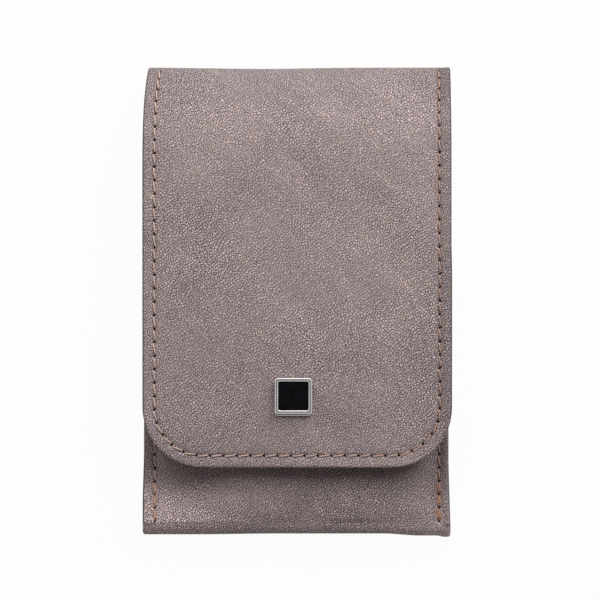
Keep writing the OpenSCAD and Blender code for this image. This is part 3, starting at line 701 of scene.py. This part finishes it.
# Near-black lenses in the needle holes: painted shade for the holes' depth
def painted_hole_shade():
    t = Tree("needle_hole_painted_shade")
    n = t.noise(3000, 2.0)
    return t.done(Base_Color=t.ramp(n, [(0.3, rgb(10, 8, 8)), (0.7, rgb(26, 20, 20))]), Roughness=1.0,
                  Specular_IOR_Level=0.1)


def board_material(name, colour):
    t = Tree(name, "object")
    n = t.noise(1400, 4.0, 0.7)
    return t.done(Base_Color=t.ramp(n, shades(colour, (0.3, 0.75), (0.7, 1.15))),
                  Roughness=0.85, Normal=t.bump(n, 0.0001, 0.5))


def metal(name, colour, rough, brush=None, depth=0.00001):
    """Metal with fine wear, and brush lines where brush gives the stretch of the noise."""
    t = Tree(name, "object")
    c = t.scaled(brush) if brush else t.coords
    n = t.noise(900, 5.0, 0.65, coords=c)
    painted_shading_and_wear = t.noise(120, 4.0, 0.6)
    col = t.ramp(n, shades(colour, (0.25, 0.88), (0.75, 1.06)))
    r = t.math("ADD", t.remap(n, 0.3, 0.7, rough * 0.8, rough * 1.15), t.remap(painted_shading_and_wear, 0.35, 0.65, -0.02, 0.05))
    return t.done(Base_Color=col, Metallic=1.0, Roughness=r, Normal=t.bump(n, depth, 0.6))


def tier_metal():
    """The badge's lower tier, dark with patina in the corner below the frame."""
    t = Tree("badge_tier_metal", "object")
    n = t.noise(900, 4.0, 0.6)
    base = t.ramp(n, [(0.25, (0.05, 0.046, 0.045)), (0.75, (0.09, 0.085, 0.083))])
    return t.done(Base_Color=base, Metallic=1.0, Roughness=t.remap(n, 0.3, 0.7, 0.35, 0.5),
                  Normal=t.bump(n, 0.00001, 0.6))


def enamel():
    t = Tree("black_enamel", "object")
    n = t.noise(500, 4.0, 0.6)
    return t.done(Base_Color=t.ramp(n, [(0.3, (0.002, 0.002, 0.003)), (0.7, (0.006, 0.005, 0.007))]),
                  Roughness=t.remap(n, 0.3, 0.7, 0.3, 0.45), Normal=t.bump(n, 0.00001, 0.4),
                  Specular_IOR_Level=0.03)


def moulded(name, colour):
    t = Tree(name, "object")
    n = t.noise(1800, 3.0, 0.5)
    return t.done(Base_Color=t.ramp(n, shades(colour, (0.3, 0.8), (0.7, 1.3))),
                  Roughness=t.remap(n, 0.3, 0.7, 0.24, 0.36), Normal=t.bump(n, 0.00002, 0.4))


MAT["edge"] = edge_paint()
MAT["flesh"] = flesh_side()
MAT["lining"] = lining_material("suede_lining", rgb(96, 86, 86))
MAT["band"] = webbing("elastic_band", rgb(62, 55, 56))
MAT["thread"] = thread_material("waxed_thread", rgb(194, 160, 146))
MAT["thread_lock"] = thread_material("waxed_thread_ends", rgb(184, 143, 121))
# Painted shade in the needle holes
MAT["hole"] = painted_hole_shade()
MAT["board"] = board_material("grey_board", rgb(178, 164, 142))
MAT["nickel"] = metal("nickel_polished", (0.62, 0.60, 0.60), 0.2)
MAT["badge"] = metal("badge_metal", (0.205, 0.2, 0.195), 0.34)
# The bevels' lighter metal: partly worn bright edges, partly a painted highlight
MAT["badge_rim"] = metal("badge_metal_worn_and_painted_highlight", (0.66, 0.64, 0.63), 0.26)
MAT["badge_tier"] = tier_metal()
MAT["spring"] = metal("spring_wire", (0.55, 0.55, 0.55), 0.32, (1, 1, 0.05))
MAT["enamel"] = enamel()
MAT["steel"] = metal("satin_steel", (0.58, 0.58, 0.585), 0.3, (1, 0.03, 1), 0.00002)
MAT["handle"] = moulded("handle_moulded", (0.02, 0.018, 0.02))

# ---- The flap's skin: the flap and the spine in one piece, bending at the fold ----
# Columns' and rows' distances from the edges of the leather and of the linings, which lie in a little
EDGE_IN = [0, 0.03, 0.1, 0.2, 0.34, 0.55, 0.9, 1.3, 1.7, 2.1, 2.35, 2.55, 2.75, 2.9, 3.05, 3.25, 3.45,
           3.7, 4.1, 4.6]
LINING_GAP = 0.12
LINE_IN = [i + LINING_GAP for i in (0, 0.06, 0.2, 0.6, 1.6, 3.0)]
# How far in and how deep the leather's cut edge is rounded on its outer face and on its inner one
ROUND_OUT, ROUND_IN = (0.5, 0.55), (0.2, 0.15)
SKIN = [MAT["leather"], MAT["flesh"], MAT["edge"]]


def flap_grid(insets, step, s_rows):
    y = flap_y(s_rows)
    x = columns(flap_half(-1, y), flap_half(1, y), insets, step)
    s = np.broadcast_to(s_rows[:, None], x.shape)
    p, into = flap_point(x, s)
    return x, s, p, into


def rounded_edge(d, run, depth):
    """How deep a rounded edge lies at a distance d from the outline."""
    return depth * (1 - arch(1 - np.clip(d, 0, run) / run))


def flap_rows(start, step):
    plain = np.arange(FLAP_END_Y + start[-1] + step, S_TOP - 0.2, step)
    return np.concatenate([FLAP_END_Y + np.array(start), plain, [S_TOP]])


# The seam: down the left side, along the free edge and up the right side
side_s = np.linspace(S_TOP - 0.8, FLAP_END_Y + FLAP_R, 400)
corner_a = np.radians(np.linspace(0, 90, 40))[1:]
edge_r = FLAP_R - SEAM_IN
left_x = -(flap_half(-1, flap_y(side_s)) - SEAM_IN)
right_x = flap_half(1, flap_y(side_s)) - SEAM_IN
corner_x = FLAP_HW - FLAP_R + edge_r * np.cos(corner_a)
corner_s = FLAP_END_Y + FLAP_R - edge_r * np.sin(corner_a)
edge_x = np.linspace(-(FLAP_HW - FLAP_R), FLAP_HW - FLAP_R, 200)[1:-1]
path_x = np.concatenate([left_x, -corner_x, edge_x, corner_x[::-1], right_x[::-1]])
edge_s = np.full(len(edge_x), FLAP_END_Y + SEAM_IN)
path_s = np.concatenate([side_s, corner_s, edge_s, corner_s[::-1], side_s[::-1]])
path_p, path_in = flap_point(path_x, path_s)
flap_seam = Seam(path_p, -path_in)
# The holes are counted both ways from one near the middle of the free edge
FIRST_HOLE_X = -1.55
first_z = float(flap_z(FIRST_HOLE_X, FLAP_END_Y + SEAM_IN))
mid = flap_seam.nearest(np.array([FIRST_HOLE_X, FLAP_END_Y + SEAM_IN, first_z]))
before, after = np.arange(mid, 1.0, -PITCH)[::-1], np.arange(mid, flap_seam.s[-1] - 1.0, PITCH)[1:]
flap_holes = np.concatenate([before, after])

x, s, p, into = flap_grid(EDGE_IN, 0.62, flap_rows(EDGE_IN + [5.2, 5.9, 6.6], 0.45))
d = flap_edge(x, s)
out_n = surface_normals(p, into)
hole_points = flap_seam.at(flap_holes)[0]


def flap_relief(x, s, d):
    """How far the leather stands above the plain surface: the seam's groove, the swollen rim, the padding
    that sinks away from the badge, and slow waves."""
    near_badge = np.hypot(x - SNAP_X, (s - SNAP_Y) * 0.95)
    relief = -GROOVE * np.exp(-((d - SEAM_IN) / GROOVE_W) ** 2)
    relief += np.where(x < 0, 0.1, 0.3) * np.clip(SEAM_IN - d, 0, 2.4)
    relief += 0.10 * smooth((d - 3.3) / 3.0)
    relief -= 0.16 * smooth((near_badge - 5.0) / 7.0) * smooth((d - 3.0) / 8.0)
    calm = smooth((d - 2.0) / 10.0) * smooth((near_badge - 6) / 8)
    relief += calm * (0.10 * waves(x, s, 3, 18, 40) + 0.035 * waves(x, s, 4, 6, 14))
    # A faint upright pressure mark in the middle
    mark = np.exp(-((x - 0.2 - 0.5 * np.sin(s / 9)) / 0.8) ** 2)
    relief += 0.05 * calm * mark * smooth((s + 10) / 15) * smooth((60 - s) / 15)
    return relief * smooth((S_TOP - s) / 4)


relief = flap_relief(x, s, d) - pit_depth(p, hole_points, 0.3)
outer = p + out_n * relief[..., None] + into * rounded_edge(d, *ROUND_OUT)[..., None]
# The leather is thick at its edges, outside the board, and over the roll it closes up to the lining
flap_inner = np.where(d > BOARD_MARGIN - 0.2, LEATHER_T, FLAP_LINING - LAYER_GAP)
to_fold = np.clip(np.degrees(roll_angle(s)) / FLAP_FOLD_A, 0, 1)
spine_t = mix(LEATHER_T, FLAP_LINING - LAYER_GAP, to_fold)
inner_t = np.where(s > CROWN_Y, np.minimum(spine_t, FLAP_LINING - LAYER_GAP), flap_inner)
inner = p + into * (inner_t - rounded_edge(d, *ROUND_IN))[..., None]
# The edge's dark paint shows less along the free edge than along the sides
painted = d < np.where(s < FLAP_END_Y + 9, 0.09, 0.35)
# Painted light and shade: paler in the middle and at the lower left, darker on the top roll and along the
# rims outside the seam, most on the right
painted_shading_and_wear = 1 + 0.08 * np.exp(-((s - 2) / 32) ** 2) - 0.13 * smooth((s - 44) / 8)
painted_shading_and_wear += 0.06 * smooth((-18 - x) / 10) * smooth((-18 - s) / 10)
painted_shading_and_wear -= 0.2 * smooth((3.4 - d) / 1.2) * smooth(x / 4) + 0.07 * smooth((3.4 - d) / 1.2) * smooth(-x / 4)
flap_skin = sheet("flap_skin", outer, inner, SKIN, painted, stack(x, s, 0.0), painted_shading_and_wear=painted_shading_and_wear)

x, s, p, into = flap_grid(LINE_IN, 1.6, flap_rows(LINE_IN + [4.4, 5.8, 7.4], 1.4))
d = flap_edge(x, s)
to_fold = np.clip(np.degrees(roll_angle(s)) / FLAP_FOLD_A, 0, 1)
lining_top = np.where(s > CROWN_Y, mix(UNDER, FLAP_LINING, to_fold), FLAP_LINING)
nap = 0.05 * waves(x, s, 11, 7, 20) * smooth(d / 4) * smooth((np.hypot(x - SNAP_X, s - SNAP_Y) - 6) / 4)
outer = p + into * (lining_top + rounded_edge(d - LINING_GAP, 0.1, 0.1))[..., None]
lining_under = lining_top + FLAP_T - FLAP_LINING + nap
inner = p + into * (lining_under - rounded_edge(d - LINING_GAP, 0.3, 0.25))[..., None]
flap_lining = sheet("flap_lining_skin", outer, inner, [MAT["lining"]] * 3, rest=stack(x, s, 5.0))

# ---- The body's skin: lower roll, back, bottom fold and pocket ----
rows = body_rows(1.3, 0.45)
base, into, p = body_surface(rows, EDGE_IN, 0.7)
step_len = np.linalg.norm(np.diff(p[:, p.shape[1] // 2], axis=0), axis=1)
body_s = np.broadcast_to(np.concatenate([[0], np.cumsum(step_len)])[:, None], p.shape[:2])
kinds = np.array([k for k, _ in rows])
front = np.broadcast_to((kinds == "front")[:, None], p.shape[:2])
FAR = 99.0


def strip_edges(p, front):
    """Distances from the strip's sides and from the pocket's mouth, for a grid of its points."""
    x, y = p[..., 0], p[..., 1]
    d_side = np.where(x < 0, -x[:, :1], x[:, -1:]) - np.abs(x)
    return x, y, d_side, np.where(front, MOUTH_Y - y, FAR)


x, y, d_side, d_mouth = strip_edges(p, front)
d = np.minimum(d_side, d_mouth)

# The pocket's seams. The side seams' last three stitches are sewn over with two more threads.
seam_y = np.linspace(MOUTH_Y - 0.6, BOTTOM_Y + BOTTOM_BOW + SEAM_IN - 0.8, 300)
pocket_threads, locked_threads, pocket_pits = Bundle(), Bundle(), Bundle()
pocket_hole_points = []
for side, seam_x in SIDE_SEAM_X.items():
    sx = np.full(len(seam_y), side * seam_x)
    pocket_seam = Seam(stack(sx, seam_y, front_z(sx, seam_y)), normal_of(front_z, sx, seam_y))
    end = pocket_seam.nearest(np.array([side * seam_x, SIDE_SEAM_END_Y, SEAM_T]))
    holes = np.arange(end, 0.0, -SIDE_PITCH)[::-1]
    pocket_hole_points.append(pocket_seam.at(holes)[0])
    sew(pocket_seam, holes[:-3], pocket_threads, pocket_pits)
    spread = 0.2 if side < 0 else 0.34
    sew(pocket_seam, holes[-4:], locked_threads, pocket_pits, slant=-0.1, hole=(0.3, 0.2))
    sew(pocket_seam, holes[-4:] + 0.15, locked_threads, None, slant=0.16, offset=spread, radius=0.15)
    sew(pocket_seam, holes[-4:] - 0.15, locked_threads, None, slant=0.12, offset=-spread, radius=0.15)
mouth_x = np.linspace(-32.4, 32.4, 200)
mouth_y = np.full(200, MOUTH_Y - SEAM_IN)
mouth_seam = Seam(stack(mouth_x, mouth_y, front_z(mouth_x, mouth_y)), normal_of(front_z, mouth_x, mouth_y))
mouth_holes = np.arange(0.4, mouth_seam.s[-1] - 0.2, PITCH)
pocket_hole_points.append(mouth_seam.at(mouth_holes)[0])
sew(mouth_seam, mouth_holes, pocket_threads, pocket_pits)

out_n = surface_normals(p, into)
near_stud = np.hypot(x - SNAP_X, y - SNAP_Y)
seam_d = np.abs(x) - np.where(x < 0, SIDE_SEAM_X[-1], SIDE_SEAM_X[1])
relief = -GROOVE * np.exp(-(seam_d / GROOVE_W) ** 2) * smooth((y + 55) / 2)
relief -= GROOVE * np.exp(-((d_mouth - SEAM_IN) / GROOVE_W) ** 2)
relief += np.where(x < 0, 0.2, 0.3) * np.clip(seam_d, 0, 2.2)
# A crease at the lower right corner, outside the seam
relief -= 0.22 * np.exp(-((x - 35.7) / 0.32) ** 2) * smooth((-49 - y) / 3)
calm = smooth((d_side - 5) / 8) * smooth(d_mouth / 8) * smooth((near_stud - 7) / 6)
relief += calm * (0.12 * waves(x, y, 5, 14, 34) + 0.04 * waves(x, y, 6, 5, 12))
# Creases across the flat lower left corner, from its upper left to its lower right
along, over = (x + 31 - (y + 50)) / math.sqrt(2), (x + 31 + y + 50) / math.sqrt(2)
crease = 0.5 + 0.5 * waves(over, along * 0.12, 9, 1.3, 3.2, 24)
relief += 0.06 * crease * np.exp(-(along / 5.5) ** 2 - (over / 4.5) ** 2)
relief -= pit_depth(p, np.concatenate(pocket_hole_points), 0.28)
relief = np.where(front, relief, 0.0)
outer = p + out_n * relief[..., None] + into * rounded_edge(d, *ROUND_OUT)[..., None]
is_back = np.broadcast_to((kinds == "back")[:, None], p.shape[:2])
edge_t = np.where(is_back & (d_side < BOARD_MARGIN), BACK_LINING - LAYER_GAP, LEATHER_T)
inner = base + into * (edge_t - rounded_edge(d, *ROUND_IN))[..., None]
# Dark paint on the cut edges; on the pocket's left side it reaches further in, as painted shade where that
# edge turns from the key
painted = d < np.where(front & (x < 0), 0.35, 0.15)
# Painted light and shade: the front is paler low down, most at its lower left corner, and darker on its right
# half and right edge; the fold and back are paler towards the bottom
painted_shading_and_wear = 1.06 + 0.18 * smooth((-44 - y) / 6) + 0.16 * smooth((-52 - y) / 4) + 0.12 * smooth((-54 - y) / 2)
painted_shading_and_wear -= 0.15 * smooth((x - 34.6) / 0.8) + 0.12 * smooth((x + 8) / 12) + 0.08 * smooth((x - 20) / 8)
painted_shading_and_wear += 0.32 * smooth((-4 - x) / 13) * smooth((-43 - y) / 6)
painted_shading_and_wear = np.where(front, painted_shading_and_wear, mix(1.0, 1.16, smooth((-50 - y) / 6)))
# The texture is laid out along the strip, well away from the flap's own
body_skin = sheet("body_skin", outer, inner, SKIN, painted, stack(x, 200 + body_s, 0.0), painted_shading_and_wear=painted_shading_and_wear)

rows = body_rows(3.0, 1.6)
p, into, _ = body_surface(rows, LINE_IN, 1.8)
kinds = np.array([k for k, _ in rows])
value = np.array([v for _, v in rows])
roll_top, fold_top = mix(UNDER, BACK_LINING, value / 90), mix(BACK_LINING, UNDER, (value + 90) / 180)
top = np.select([kinds == k for k in ("lower", "back", "fold")], [roll_top, BACK_LINING, fold_top], UNDER)
top = np.broadcast_to(top[:, None], p.shape[:2])
x, y, d_side, d_mouth = strip_edges(p, (kinds == "front")[:, None])
d = np.minimum(d_side, d_mouth)
outer = p + into * (top + rounded_edge(d, 0.1, 0.1))[..., None]
inner = p + into * (top + FRONT_T - UNDER - rounded_edge(d, 0.3, 0.25))[..., None]
body_lining = sheet("body_lining_skin", outer, inner, [MAT["lining"]] * 3, rest=stack(x, y + 400, 5.0))

# ---- Threads on the flap ----
flap_threads, flap_pits = Bundle(), Bundle()
sew(flap_seam, flap_holes, flap_threads, flap_pits)
flap_thread = flap_threads.build("flap_thread", MAT["thread"])
flap_needle_holes = flap_pits.build("flap_needle_holes", MAT["hole"])
pocket_thread = pocket_threads.build("pocket_thread", MAT["thread"])
locked_thread = locked_threads.build("pocket_thread_ends", MAT["thread_lock"])
pocket_needle_holes = pocket_pits.build("pocket_needle_holes", MAT["hole"])

# ---- The band ----

LOOP_POWER = 0.38


def boxy(v):
    return float(np.sign(v) * np.abs(v) ** LOOP_POWER)


# The band's profile across the case, with loops between an ellipse and a rectangle, in steps of 0.5 mm
profile = [[-BAND_END, 0.0]]
for cx, hw, h in LOOPS:
    for a in np.radians(np.linspace(180, 0, 37)):
        profile.append([cx + hw * boxy(math.cos(a)), h * boxy(math.sin(a))])
profile.append([BAND_END, 0.0])
prof = [profile[0]]
for q in profile[1:]:
    last = prof[-1]
    n = max(1, int(math.hypot(q[0] - last[0], q[1] - last[1]) / 0.5))
    prof += [[mix(last[0], q[0], k / n), mix(last[1], q[1], k / n)] for k in range(1, n + 1)]
prof = np.array(prof)
keep = np.concatenate([[True], np.linalg.norm(np.diff(prof, axis=0), axis=1) > 0.05])
prof = prof[keep]
tangent = unit(np.gradient(prof, axis=0))
normal = np.stack([-tangent[:, 1], tangent[:, 0]], -1)
band_rows = np.concatenate([[0, 0.05, 0.15, 0.35], np.linspace(0.8, BAND_H - 0.8, 16),
                            BAND_H - np.array([0.35, 0.15, 0.05, 0])])
yy = (BAND_Y1 - band_rows)[:, None]
edge = rounded_edge(np.minimum(band_rows, BAND_H - band_rows), 0.35, 0.22)[:, None]
z0 = BACK_T + 0.02


def band_face(out):
    """The band's points at a distance out from its underside."""
    px, pz = prof[None, :, 0], prof[None, :, 1]
    return stack(px + normal[None, :, 0] * out, yy, z0 + pz + normal[None, :, 1] * out)


outer, inner = band_face(BAND_T - edge), band_face(edge * 0.5)
band = sheet("tool_band_webbing", outer, inner, [MAT["band"]] * 3, sharp=60)

band_threads = Bundle()
ends = [e for cx, hw, _ in LOOPS for e in (cx - hw, cx + hw)]
lines = [(ends[i] + ends[i + 1]) / 2 for i in range(1, len(ends) - 2, 2)]
line_y = np.linspace(BAND_Y1 - 0.6, BAND_Y1 - BAND_H + 0.6, 60)
for lx in lines:
    seam = Seam(stack(np.full(60, lx), line_y, z0 + BAND_T), stack(np.zeros(60), 0.0, 1.0))
    sew(seam, np.linspace(0.2, seam.s[-1] - 0.2, 7), band_threads, None, slant=0.1, radius=0.22, sink=0.25)
band_thread = band_threads.build("tool_band_thread", MAT["thread"])

# ---- Pieces set in place: some move with the case, and the nodes they replace are hidden ----


for piece in (flap_skin, flap_lining, flap_thread, flap_needle_holes):
    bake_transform(piece)
for piece in (body_skin, body_lining):
    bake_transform(piece)
for piece in (pocket_thread, locked_thread, pocket_needle_holes, band, band_thread):
    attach(piece, "case")
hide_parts("flap_leather", "spine_leather")
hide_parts("flap_lining", "spine_lining")
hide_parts("flap_stitching", "spine_stitching")
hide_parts("body_leather")
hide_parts("body_lining")
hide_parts("pocket_stitching")
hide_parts("pocket_stitching")
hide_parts("tool_band")
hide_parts("tool_band_stitching")

# ---- The carried-over nodes: edges eased, and their materials ----

def dress(node, material, bevel=0.0, rim=None):
    """Gives a node its material and eases its edges by bevel mm, with rim as their own material."""
    o = NODES[node]
    for slot in o.material_slots:
        slot.material = material
    if bevel:
        weld = o.modifiers.new("weld", "WELD")
        weld.merge_threshold = 1e-6
        if rim:
            flat = o.modifiers.new("flat", "DECIMATE")
            flat.decimate_type, flat.angle_limit = "DISSOLVE", math.radians(0.5)
        b = o.modifiers.new("bevel", "BEVEL")
        b.width, b.segments, b.limit_method, b.angle_limit = bevel * MM, 3, "ANGLE", math.radians(35)
        b.use_clamp_overlap = True
        if rim:
            o.data.materials.append(rim)
            b.material = len(o.data.materials) - 1
        w = o.modifiers.new("normals", "WEIGHTED_NORMAL")
        w.keep_sharp = False


DRESS = {
    "badge_base": ("badge_tier", 0.26, "badge_rim"), "badge_frame": ("badge", 0.2, "badge_rim"),
    "badge_inlay": ("enamel", 0.08), "snap_socket": ("nickel", 0.15), "snap_spring": ("spring", 0),
    "snap_stud": ("nickel", 0.1), "stud_rivet": ("nickel", 0.1), "back_board": ("board", 0),
    "flap_board": ("board", 0), "file_blade": ("steel", 0.12), "file_handle": ("handle", 0.3),
    "cuticle_pusher": ("steel", 0.12), "nail_cleaner": ("steel", 0.1),
    "tweezers_leg_lower": ("steel", 0.12), "tweezers_leg_upper": ("steel", 0.12),
    "scissors_half_lower": ("steel", 0.14), "scissors_half_upper": ("steel", 0.14),
    "scissors_screw": ("nickel", 0.1)}
for node, (mat, bevel, *rim) in DRESS.items():
    dress(node, MAT[mat], bevel, MAT[rim[0]] if rim else None)

# ---- Floor, light and camera ----

def seen_directly(nt):
    """1 for camera, mirror and glass rays, else 0."""
    lp = nt.nodes.new("ShaderNodeLightPath")
    a = nt.nodes.new("ShaderNodeMath")
    a.operation = "MAXIMUM"
    nt.links.new(lp.outputs["Is Camera Ray"], a.inputs[0])
    nt.links.new(lp.outputs["Is Glossy Ray"], a.inputs[1])
    b = nt.nodes.new("ShaderNodeMath")
    b.operation = "MAXIMUM"
    nt.links.new(a.outputs[0], b.inputs[0])
    nt.links.new(lp.outputs["Is Transmission Ray"], b.inputs[1])
    return b.outputs[0]


# The floor keeps its shadow under the glow that makes it white to the camera
FLOOR_GLOW, FLOOR_HALF, FLOOR_Z = 0.96, 3, -0.00004
floor_mat = bpy.data.materials.new("floor_paper")
nt, bsdf = nodes_of(floor_mat)
bsdf.inputs["Base Color"].default_value = (0.8, 0.8, 0.8, 1)
bsdf.inputs["Roughness"].default_value = 0.9
bsdf.inputs["Specular IOR Level"].default_value = 0.1
glow = nt.nodes.new("ShaderNodeEmission")
glow.inputs["Strength"].default_value = 1.0
mixer = nt.nodes.new("ShaderNodeMixShader")
share = nt.nodes.new("ShaderNodeMath")
share.operation = "MULTIPLY"
nt.links.new(seen_directly(nt), share.inputs[0])
share.inputs[1].default_value = FLOOR_GLOW
nt.links.new(share.outputs[0], mixer.inputs[0])
nt.links.new(bsdf.outputs[0], mixer.inputs[1])
nt.links.new(glow.outputs[0], mixer.inputs[2])
nt.links.new(mixer.outputs[0], nt.nodes["Material Output"].inputs[0])
me = bpy.data.meshes.new("floor")
corners = [(FLOOR_HALF * i, FLOOR_HALF * j, FLOOR_Z) for i, j in ((-1, -1), (1, -1), (1, 1), (-1, 1))]
me.from_pydata(corners, [], [(0, 1, 2, 3)])
me.materials.append(floor_mat)
floor = bpy.data.objects.new("floor", me)
bpy.context.scene.collection.objects.link(floor)

# The world is white where it is seen, and a faint warm fill where it lights
WORLD_FILL = 0.085
world = bpy.data.worlds.new("studio")
bpy.context.scene.world = world
world.use_nodes = True
wt = world.node_tree
back = wt.nodes["Background"]
strength = wt.nodes.new("ShaderNodeMapRange")
wt.links.new(seen_directly(wt), strength.inputs["Value"])
strength.inputs["To Min"].default_value = WORLD_FILL
strength.inputs["To Max"].default_value = 1.0
wt.links.new(strength.outputs[0], back.inputs["Strength"])
tone = wt.nodes.new("ShaderNodeMix")
tone.data_type = "RGBA"
wt.links.new(seen_directly(wt), tone.inputs[0])
tone.inputs[6].default_value = (1.0, 0.9, 0.9, 1)
tone.inputs[7].default_value = (1, 1, 1, 1)
wt.links.new(tone.outputs[2], back.inputs["Color"])


def area_light(name, at, aim, size, watts):
    data = bpy.data.lights.new(name, "AREA")
    data.shape, data.size, data.energy = "DISK", size, watts
    o = bpy.data.objects.new(name, data)
    o.visible_camera = False
    o.location = at
    o.rotation_mode = "QUATERNION"
    o.rotation_quaternion = (Vector(aim) - Vector(at)).to_track_quat("-Z", "Y")
    bpy.context.scene.collection.objects.link(o)


CASE_MIDDLE = (0, 0, 0.01)
area_light("key", (0.21, 0.37, 0.39), CASE_MIDDLE, 0.62, 3.12)
area_light("fill", (-0.27, 0.34, 0.48), CASE_MIDDLE, 0.5, 1.28)

# The camera looks straight down from far away, and VIEW_W is what it sees across at PLANE_Z
DISTANCE, VIEW_W, PLANE_Z, SENSOR = 4000.0, 145.62, 14.0, 36.0
cam_data = bpy.data.cameras.new("camera")
cam_data.sensor_width = SENSOR
cam_data.lens = SENSOR * DISTANCE / VIEW_W
cam_data.clip_start, cam_data.clip_end = 0.1, 10.0
camera = bpy.data.objects.new("camera", cam_data)
camera.location = (0.7 * MM, 0.5 * MM, (DISTANCE + PLANE_Z) * MM)
bpy.context.scene.collection.objects.link(camera)
bpy.context.scene.camera = camera
bpy.context.scene.view_settings.view_transform = "Standard"
